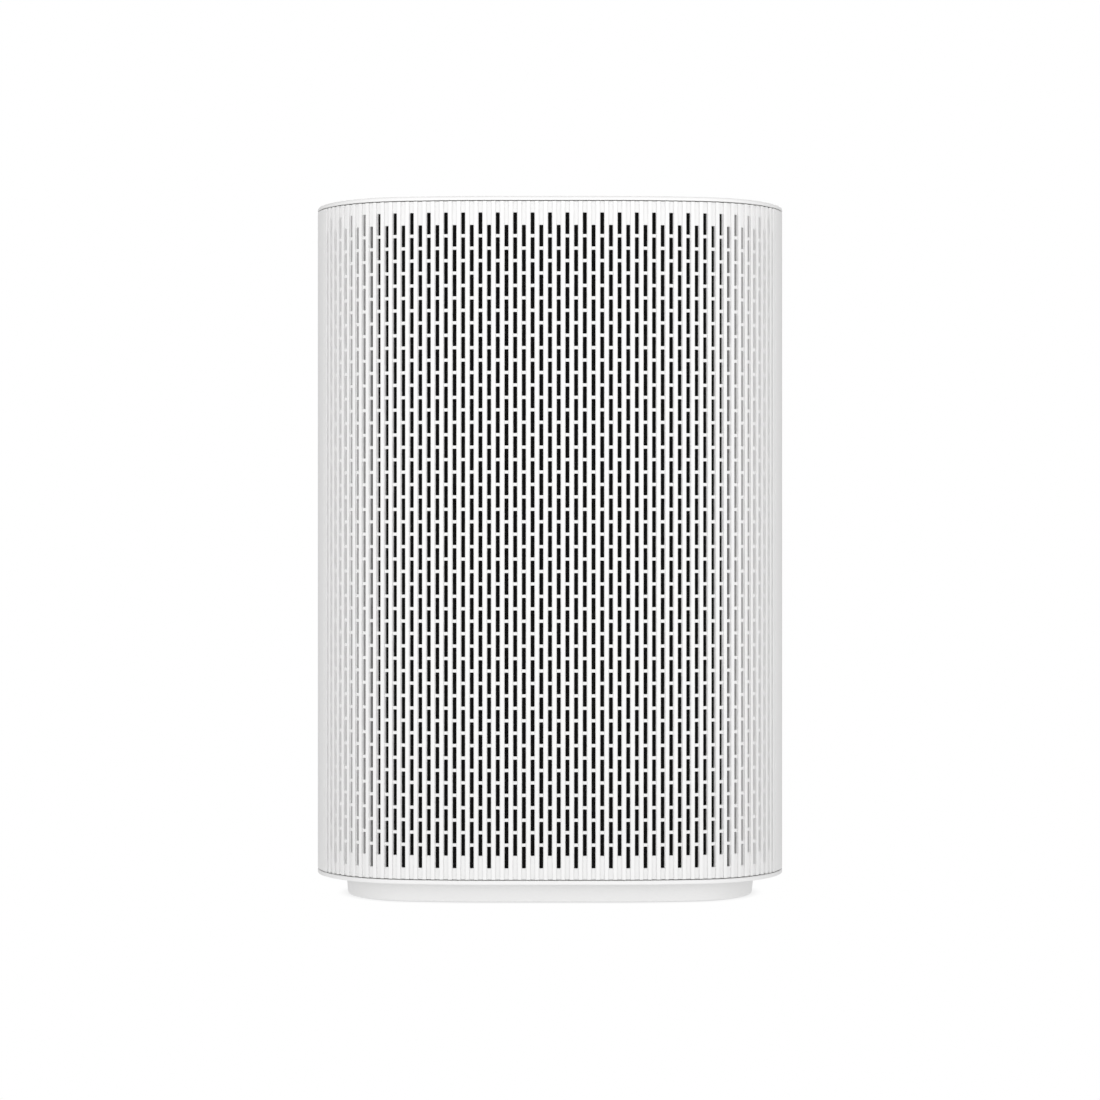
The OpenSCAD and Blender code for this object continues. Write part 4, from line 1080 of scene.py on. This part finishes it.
@dataclass
class Covers:
    """Top cover, bottom cover and base: level plates with profiled rims.

    Attributes:
        outline: The cabinet's outline.
        top_edge: Radius of the top cover's upper edge.
        top_foot: Radius of its lower edge.
        small_edge: Radius of the bottom cover's and the base's edges.
        spigot: Inset, thickness and height of the ring that reaches inside the shells.
        ledge: Width of the ledge that the control strip lies on.
        strip_t: Depth of the recess for the control strip.
        base_wall: Wall of the base.
        base_inset: Inset of the base's upper edge.
        base_taper: Inward slope of the skirt over its height.
        base_chamfer: Chamfer of the skirt's upper edge.
    """

    outline: Outline
    top_edge: float = 0.0016
    top_foot: float = 0.0004
    small_edge: float = 0.0006
    spigot: tuple[float, float, float] = (0.009, 0.002, 0.008)
    ledge: float = 0.002
    strip_t: float = 0.002
    base_wall: float = 0.0024
    base_inset: float = 0.0195
    base_taper: float = 0.0013
    base_chamfer: float = 0.0003

    def ring(self, shape: Shape, z0: float, z1: float) -> None:
        """Adds the spigot between two heights."""
        inset, thick, _ = self.spigot
        profile = np.array([[inset, z0], [inset, z1], [inset + thick, z1], [inset + thick, z0], [inset, z0]])
        Plan(self.outline).rim(shape, profile)

    def top(self) -> bpy.types.Object:
        """Builds the top cover with its openings for the control strip and the outlet grille."""
        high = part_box("top_cover")[1].z
        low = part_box("rear_housing")[1].z + self.outline.seam
        strip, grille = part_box("control_strip"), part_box("outlet_grille")
        strip_x, strip_y = strip[1].x + CLEARANCE, (strip[0].y - CLEARANCE, strip[1].y + CLEARANCE)
        grille_x, grille_y = grille[1].x + CLEARANCE, (grille[0].y - CLEARANCE, grille[1].y + CLEARANCE)
        plan = Plan(self.outline, (*strip_y, *grille_y), (strip_x, grille_x))
        keep = ~(plan.cells((-strip_x, strip_y[0]), (strip_x, strip_y[1]))
                 | plan.cells((-grille_x, grille_y[0]), (grille_x, grille_y[1])))
        shape = Shape()
        shape.slab(plan.grid(self.top_edge, high), plan.grid(self.top_edge, low), keep, rim=False)
        edge, foot = self.top_edge, self.top_foot
        plan.rim(shape, np.concatenate([arc((edge, high - edge), edge, 90, 180, 6),
                                        arc((foot, low + foot), foot, 180, 270, 2), [[edge, low]]]))
        self.ring(shape, low - self.spigot[2], low + OVERLAP)
        floor = high - self.strip_t
        inner_x, end = strip_x - self.ledge, strip_x - self.ledge / 2
        for x in ((-strip_x, -inner_x), (inner_x, strip_x)):
            shape.block(np.array([x[0], strip_y[0], low]), np.array([x[1], strip_y[1], floor]))
        for y in ((strip_y[0], strip_y[0] + self.ledge), (strip_y[1] - self.ledge, strip_y[1])):
            shape.block(np.array([-end, y[0], low]), np.array([end, y[1], floor]))
        return finish_piece(shape.mesh("top_cap"), "top_cap", ("top_cover",))

    def bottom(self) -> bpy.types.Object:
        """Builds the bottom cover, a plate with eased edges and a spigot."""
        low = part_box("base")[1].z
        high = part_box("rear_housing")[0].z - self.outline.seam
        plan, edge = Plan(self.outline), self.small_edge
        shape = Shape()
        shape.slab(plan.grid(edge, high), plan.grid(edge, low), rim=False)
        plan.rim(shape, np.concatenate([arc((edge, high - edge), edge, 90, 180, 3),
                                        arc((edge, low + edge), edge, 180, 270, 3)]))
        self.ring(shape, high - OVERLAP, high + self.spigot[2])
        return finish_piece(shape.mesh("bottom_plate"), "bottom_plate", ("bottom_cover",))

    def base(self) -> bpy.types.Object:
        """Builds the base, a tray whose skirt slopes inwards to a rounded lower edge."""
        low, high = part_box("base")
        edge, inset, wall, top = self.small_edge, self.base_inset, self.base_wall, self.base_chamfer
        foot = inset + self.base_taper
        plan = Plan(self.outline)
        shape = Shape()
        shape.sheet(plan.grid(foot + edge, low.z))
        shape.sheet(plan.grid(foot + wall, low.z + wall))
        plan.rim(shape, np.concatenate([
            arc((foot + edge, low.z + edge), edge, 270, 180, 4),
            [[inset, high.z - top], [inset + top, high.z], [inset + wall, high.z],
             [foot + wall, low.z + wall]]]))
        return finish_piece(shape.mesh("base_tray"), "base_tray", ("base",))


@dataclass
class Controls:
    """Push buttons with dished tops, and the rubber feet.

    Attributes:
        dish: Depth of a button's dish.
        edge: Radius of a button's upper edge, and width of the level ring inside it.
        cap_h: Height of a button's cap.
        stem_r: Radius of its stem.
        foot_r: Radius of a foot.
        foot_edge: Radius of a foot's lower edge.
        hollow: Depth of the hollow beneath a foot.
        hollow_share: Radii of the hollow's floor and mouth, as shares of the foot's radius.
    """

    dish: float = 0.0004
    edge: float = 0.0008
    cap_h: float = 0.0032
    stem_r: float = 0.002
    foot_r: float = 0.008
    foot_edge: float = 0.0008
    hollow: float = 0.0003
    hollow_share: Span = (0.55, 0.62)

    def button(self, node: str) -> bpy.types.Object:
        """Builds one button: a dished cap with a rounded edge on its stem.

        Args:
            node: The CAD node that it stands for.

        Returns:
            The piece.
        """
        low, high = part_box(node)
        radius, top, under = (high.x - low.x) / 2, high.z, high.z - self.cap_h
        rim_r = radius - self.edge
        across = np.linspace(0.0, rim_r - self.edge, 10)
        dish = np.column_stack([across, top - self.dish * (1 - (across / across[-1]) ** 2)])
        edge = arc((rim_r, top - self.edge), self.edge, 90, 0, 5)
        stem = [[radius, under], [self.stem_r, under], [self.stem_r, low.z], [0.0, low.z]]
        shape = Shape()
        shape.lathe(np.concatenate([dish, edge, stem]), (low.x + high.x) / 2, (low.y + high.y) / 2, 64)
        return finish_piece(shape.mesh(node + "_cap"), node + "_cap", (node,))

    def feet(self) -> bpy.types.Object:
        """Builds the four feet: pucks with a rounded lower edge and a shallow hollow beneath."""
        low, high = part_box("rubber_feet")
        radius, edge, roof = self.foot_r, self.foot_edge, low.z + self.hollow
        inner, outer = self.hollow_share
        profile = np.concatenate([
            [[0.0, roof], [radius * inner, roof], [radius * outer, low.z]],
            arc((radius - edge, low.z + edge), edge, 270, 360, 4),
            [[radius, high.z], [0.0, high.z]]])
        shape = Shape()
        for x in (low.x + radius, high.x - radius):
            for y in (low.y + radius, high.y - radius):
                shape.lathe(profile, x, y)
        return finish_piece(shape.mesh("feet_moulded"), "feet_moulded", ("rubber_feet",))


@dataclass
class PleatedMedia:
    """Folded filter sheet and the glue beads that hold its folds apart.

    Attributes:
        pleat_w: Width of one pleat.
        paper: Thickness of the sheet.
        bead_pitch: Height between glue beads.
        bead_r: Radius of a bead.
        bead_sides: Sides of a bead's section.
        fold_steps: Steps across one pleat.
        steepness: Factor on the wave that levels its peaks.
        sway: Greatest sideways wander of a fold half way up.
        sway_turn: Angle of the wander from one pleat to the next, in radians.
        levels: Levels of points up the height.
    """

    pleat_w: float = 0.005
    paper: float = 0.0006
    bead_pitch: float = 0.042
    bead_r: float = 0.0009
    bead_sides: int = 8
    fold_steps: int = 12
    steepness: float = 1.06
    sway: float = 0.00025
    sway_turn: float = 2.1
    levels: int = 13

    def sheet(self, shape: Shape, low: Vector, high: Vector) -> None:
        """Adds the sheet: depth is a triangle wave of x, made a little too high and cut level.

        Both faces stand half a thickness off along the wave's normal. Up the height, a fold wanders
        sideways by half a sine.

        Args:
            shape: Where it goes.
            low: Lowest corner of its room.
            high: Highest corner of its room.
        """
        count = round((high.x - low.x) / self.pleat_w)
        phase = np.linspace(0.0, count, count * self.fold_steps + 1)
        wave = 2 * np.abs(phase % 1 - 0.5)
        level = np.clip((wave - 0.5) * self.steepness, -0.5, 0.5) + 0.5
        x = low.x + (high.x - low.x) * phase / count
        front, back = low.y + self.paper, high.y - self.paper
        y = front + (back - front) * (1 - level)
        z = np.linspace(low.z, high.z, self.levels)
        rise = np.sin(np.pi * np.linspace(0, 1, self.levels))
        sway = self.sway * np.sin(phase * self.sway_turn)[:, None] * rise[None]
        along = np.gradient(np.column_stack([x, y]), axis=0)
        along /= np.linalg.norm(along, axis=1)[:, None]
        normal = np.column_stack([-along[:, 1], along[:, 0]]) * self.paper / 2
        faces = []
        for side in (-1, 1):
            across = np.clip(x + side * normal[:, 0], low.x, high.x)[:, None] + sway
            depth = np.clip(y + side * normal[:, 1], low.y, high.y)[:, None]
            faces.append(np.stack(np.broadcast_arrays(across, depth, z), axis=-1))
        shape.slab(*faces)

    def bead(self, shape: Shape, low: Vector, high: Vector, z: float) -> None:
        """Adds a bead at one height: a circle carried from side to side, with closed ends.

        Args:
            shape: Where it goes.
            low: Lowest corner of the sheet's room.
            high: Highest corner of the sheet's room.
            z: Height of the bead's middle.
        """
        ring = arc((low.y + self.bead_r, z), self.bead_r, 0, 360, self.bead_sides)
        x = np.array([low.x, (low.x + high.x) / 2, high.x])[:, None]
        tube = np.stack(np.broadcast_arrays(x, ring[:, 0], ring[:, 1]), axis=-1)
        shape.sheet(tube)
        for end in tube[[0, -1], :-1]:
            shape.fan(end)

    def build(self) -> bpy.types.Object:
        """Builds the sheet and its beads."""
        low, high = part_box("filter_pleats")
        shape = Shape()
        self.sheet(shape, low, high)
        beads = int((high.z - low.z) / self.bead_pitch)
        for z in np.linspace(low.z, high.z, beads + 2)[1:-1]:
            self.bead(shape, low, high, float(z))
        return finish_piece(shape.mesh("pleated_media"), "pleated_media", ("filter_pleats",))


# ---- Studio --------------------------------------------------------------------------------------


@dataclass
class Studio:
    """Camera, soft light and pale floor.

    Attributes:
        lens: Focal length in millimetres, on a sensor 36 mm wide.
        distance: From the camera to the cabinet's front.
        eye: Height of the camera.
        shift: Vertical shift of the frame, in frame widths.
        front: Brightness of the surroundings straight in front, as the object sees them.
        back: Their brightness straight behind.
        spread: Power by which the brightness falls from front to back.
        floor_reach: Half of the floor's side.
        floor_glow: Brightness of the floor in front and behind, as the object sees it.
        floor_fade: Depths between which the floor's brightness changes.
        contact: Distance within which the object darkens the floor.
        contact_tone: Brightness of the floor, as the camera sees it, in the darkest contact.
        contact_full: Share of open sky from which the floor is fully bright.
        aim: Point that the lights look at.
    """

    lens: float = 98.6
    distance: float = 1.9965
    eye: float = 0.2477
    shift: float = -0.01572727
    front: float = 1.6
    back: float = 0.5
    spread: float = 3.0
    floor_reach: float = 6.0
    floor_glow: Span = (1.2, 0.6)
    floor_fade: Span = (-0.4, 0.3)
    contact: float = 0.012
    contact_tone: float = 0.7
    contact_full: float = 0.8
    aim: tuple[float, float, float] = (0.0, 0.0, 0.24)

    def camera(self) -> None:
        """Makes the camera, level and square to the front."""
        data = bpy.data.cameras.new("Camera")
        data.lens, data.sensor_width = self.lens, 36.0
        data.shift_y = self.shift
        data.clip_start, data.clip_end = 0.05, 50.0
        camera = bpy.data.objects.new("Camera", data)
        camera.location = (0.0, CAD_BOX[0][1] - self.distance, self.eye)
        camera.rotation_euler = (math.radians(90), 0.0, 0.0)
        bpy.context.scene.collection.objects.link(camera)
        bpy.context.scene.camera = camera

    def softbox(self, name: str, place: tuple[float, float, float], size: Span, power: float) -> None:
        """Adds an area light that points at the middle of the cabinet.

        Args:
            name: Name of the light.
            place: Its centre.
            size: Its width and height.
            power: Its power in watts.
        """
        data = bpy.data.lights.new(name, "AREA")
        data.shape, data.size, data.size_y, data.energy = "RECTANGLE", size[0], size[1], power
        light = bpy.data.objects.new(name, data)
        light.location = place
        light.rotation_euler = (Vector(self.aim) - Vector(place)).to_track_quat("-Z", "Y").to_euler()
        bpy.context.scene.collection.objects.link(light)

    def surroundings(self) -> None:
        """A white backdrop for the camera, and a room that is brighter in front for the object.

        Towards a direction whose part along +Y is y, the room's brightness is back + (front - back)
        times ((1 - y) / 2) to the power spread.
        """
        world = bpy.data.worlds.new("Studio")
        bpy.context.scene.world = world
        world.use_nodes = True
        nodes = Nodes(world.node_tree)
        background = world.node_tree.nodes["Background"]
        path = nodes.add("ShaderNodeLightPath").outputs["Is Camera Ray"]
        direction = nodes.add("ShaderNodeTexCoord").outputs["Generated"]
        forward = nodes.add("ShaderNodeSeparateXYZ", {0: direction}).outputs["Y"]
        share = nodes.math("POWER", nodes.math("MULTIPLY_ADD", forward, -0.5, 0.5), self.spread)
        room = nodes.math("MULTIPLY_ADD", share, self.front - self.back, self.back)
        strength = nodes.add("ShaderNodeMapRange", {"Value": path, "To Min": room}).outputs[0]
        background.inputs["Color"].default_value = (1, 1, 1, 1)
        world.node_tree.links.new(strength, background.inputs["Strength"])

    def floor(self) -> None:
        """A pale floor that shows only the soft shadow where the object stands."""
        mesh = bpy.data.meshes.new("floor")
        reach = self.floor_reach
        corners = [(-reach, -reach, 0), (reach, -reach, 0), (reach, reach, 0), (-reach, reach, 0)]
        mesh.from_pydata(corners, [], [(0, 1, 2, 3)])
        floor = bpy.data.objects.new("floor", mesh)
        bpy.context.scene.collection.objects.link(floor)
        material = bpy.data.materials.new("floor")
        material.use_nodes = True
        nodes = Nodes(material.node_tree)
        tree = material.node_tree
        tree.nodes.remove(tree.nodes["Principled BSDF"])
        shadow = nodes.add("ShaderNodeAmbientOcclusion", {"Distance": self.contact}, samples=8).outputs["AO"]
        tone = nodes.add("ShaderNodeMapRange", {"Value": shadow, "From Max": self.contact_full,
                                                "To Min": self.contact_tone}).outputs[0]
        seen = nodes.add("ShaderNodeEmission", {"Strength": tone}).outputs[0]
        where = nodes.add("ShaderNodeTexCoord").outputs["Object"]
        behind = nodes.add("ShaderNodeSeparateXYZ", {0: where}).outputs["Y"]
        glow = nodes.add("ShaderNodeMapRange", {
            "Value": behind, "From Min": self.floor_fade[0], "From Max": self.floor_fade[1],
            "To Min": self.floor_glow[0], "To Max": self.floor_glow[1]}).outputs[0]
        bounced = nodes.add("ShaderNodeEmission", {"Strength": glow}).outputs[0]
        path = nodes.add("ShaderNodeLightPath").outputs["Is Camera Ray"]
        mixed = nodes.add("ShaderNodeMixShader", {0: path, 1: bounced, 2: seen}).outputs[0]
        tree.links.new(mixed, tree.nodes["Material Output"].inputs["Surface"])
        mesh.materials.append(material)

    def build(self) -> None:
        """Sets up the camera, the light and the floor."""
        bpy.context.scene.view_settings.view_transform = "Standard"
        self.camera()
        self.surroundings()
        self.floor()
        self.softbox("KeyLight", (0.0, -2.6, 0.45), (2.4, 1.0), 9.0)
        self.softbox("FillLight", (0.0, 2.2, 1.5), (2.2, 1.6), 16.0)


# ---- Assembly ------------------------------------------------------------------------------------


# CAD nodes shown as copies with rounded edges, and the radius of each
EASED = {
    "outlet_grille": 0.0003, "status_light": 0.0002, "handle_cup": 0.0006, "filter_frame": 0.0004,
    "filter_pull_tab": 0.0003,
}


def dress_frame_nodes() -> None:
    """Gives each CAD node that stays in view the material of its slot."""
    for name, node in frame["nodes"].items():
        if node.hide_render:
            continue
        node.data.materials.clear()
        node.data.materials.append(FINISHES[SLOT_OF[name]].material())
        log.info("%s: CAD node in %s", name, SLOT_OF[name])


def main() -> None:
    """Builds the object's sub-assemblies in order, then the studio."""
    logging.basicConfig(level=logging.INFO, format="%(message)s")
    low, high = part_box("bottom_cover")
    outline = Outline((high.x - low.x) / 2, (high.y - low.y) / 2)
    IntakePanel(outline).build()
    RearShell(outline).build()
    covers = Covers(outline)
    covers.top()
    covers.bottom()
    covers.base()
    controls = Controls()
    for name in ("power_button", "speed_button", "timer_button", "lock_button"):
        controls.button(name)
    controls.feet()
    PleatedMedia().build()
    for name, ease in EASED.items():
        eased_copy(name, ease)
    dress_frame_nodes()
    Studio().build()


if __name__ == "__main__":
    main()
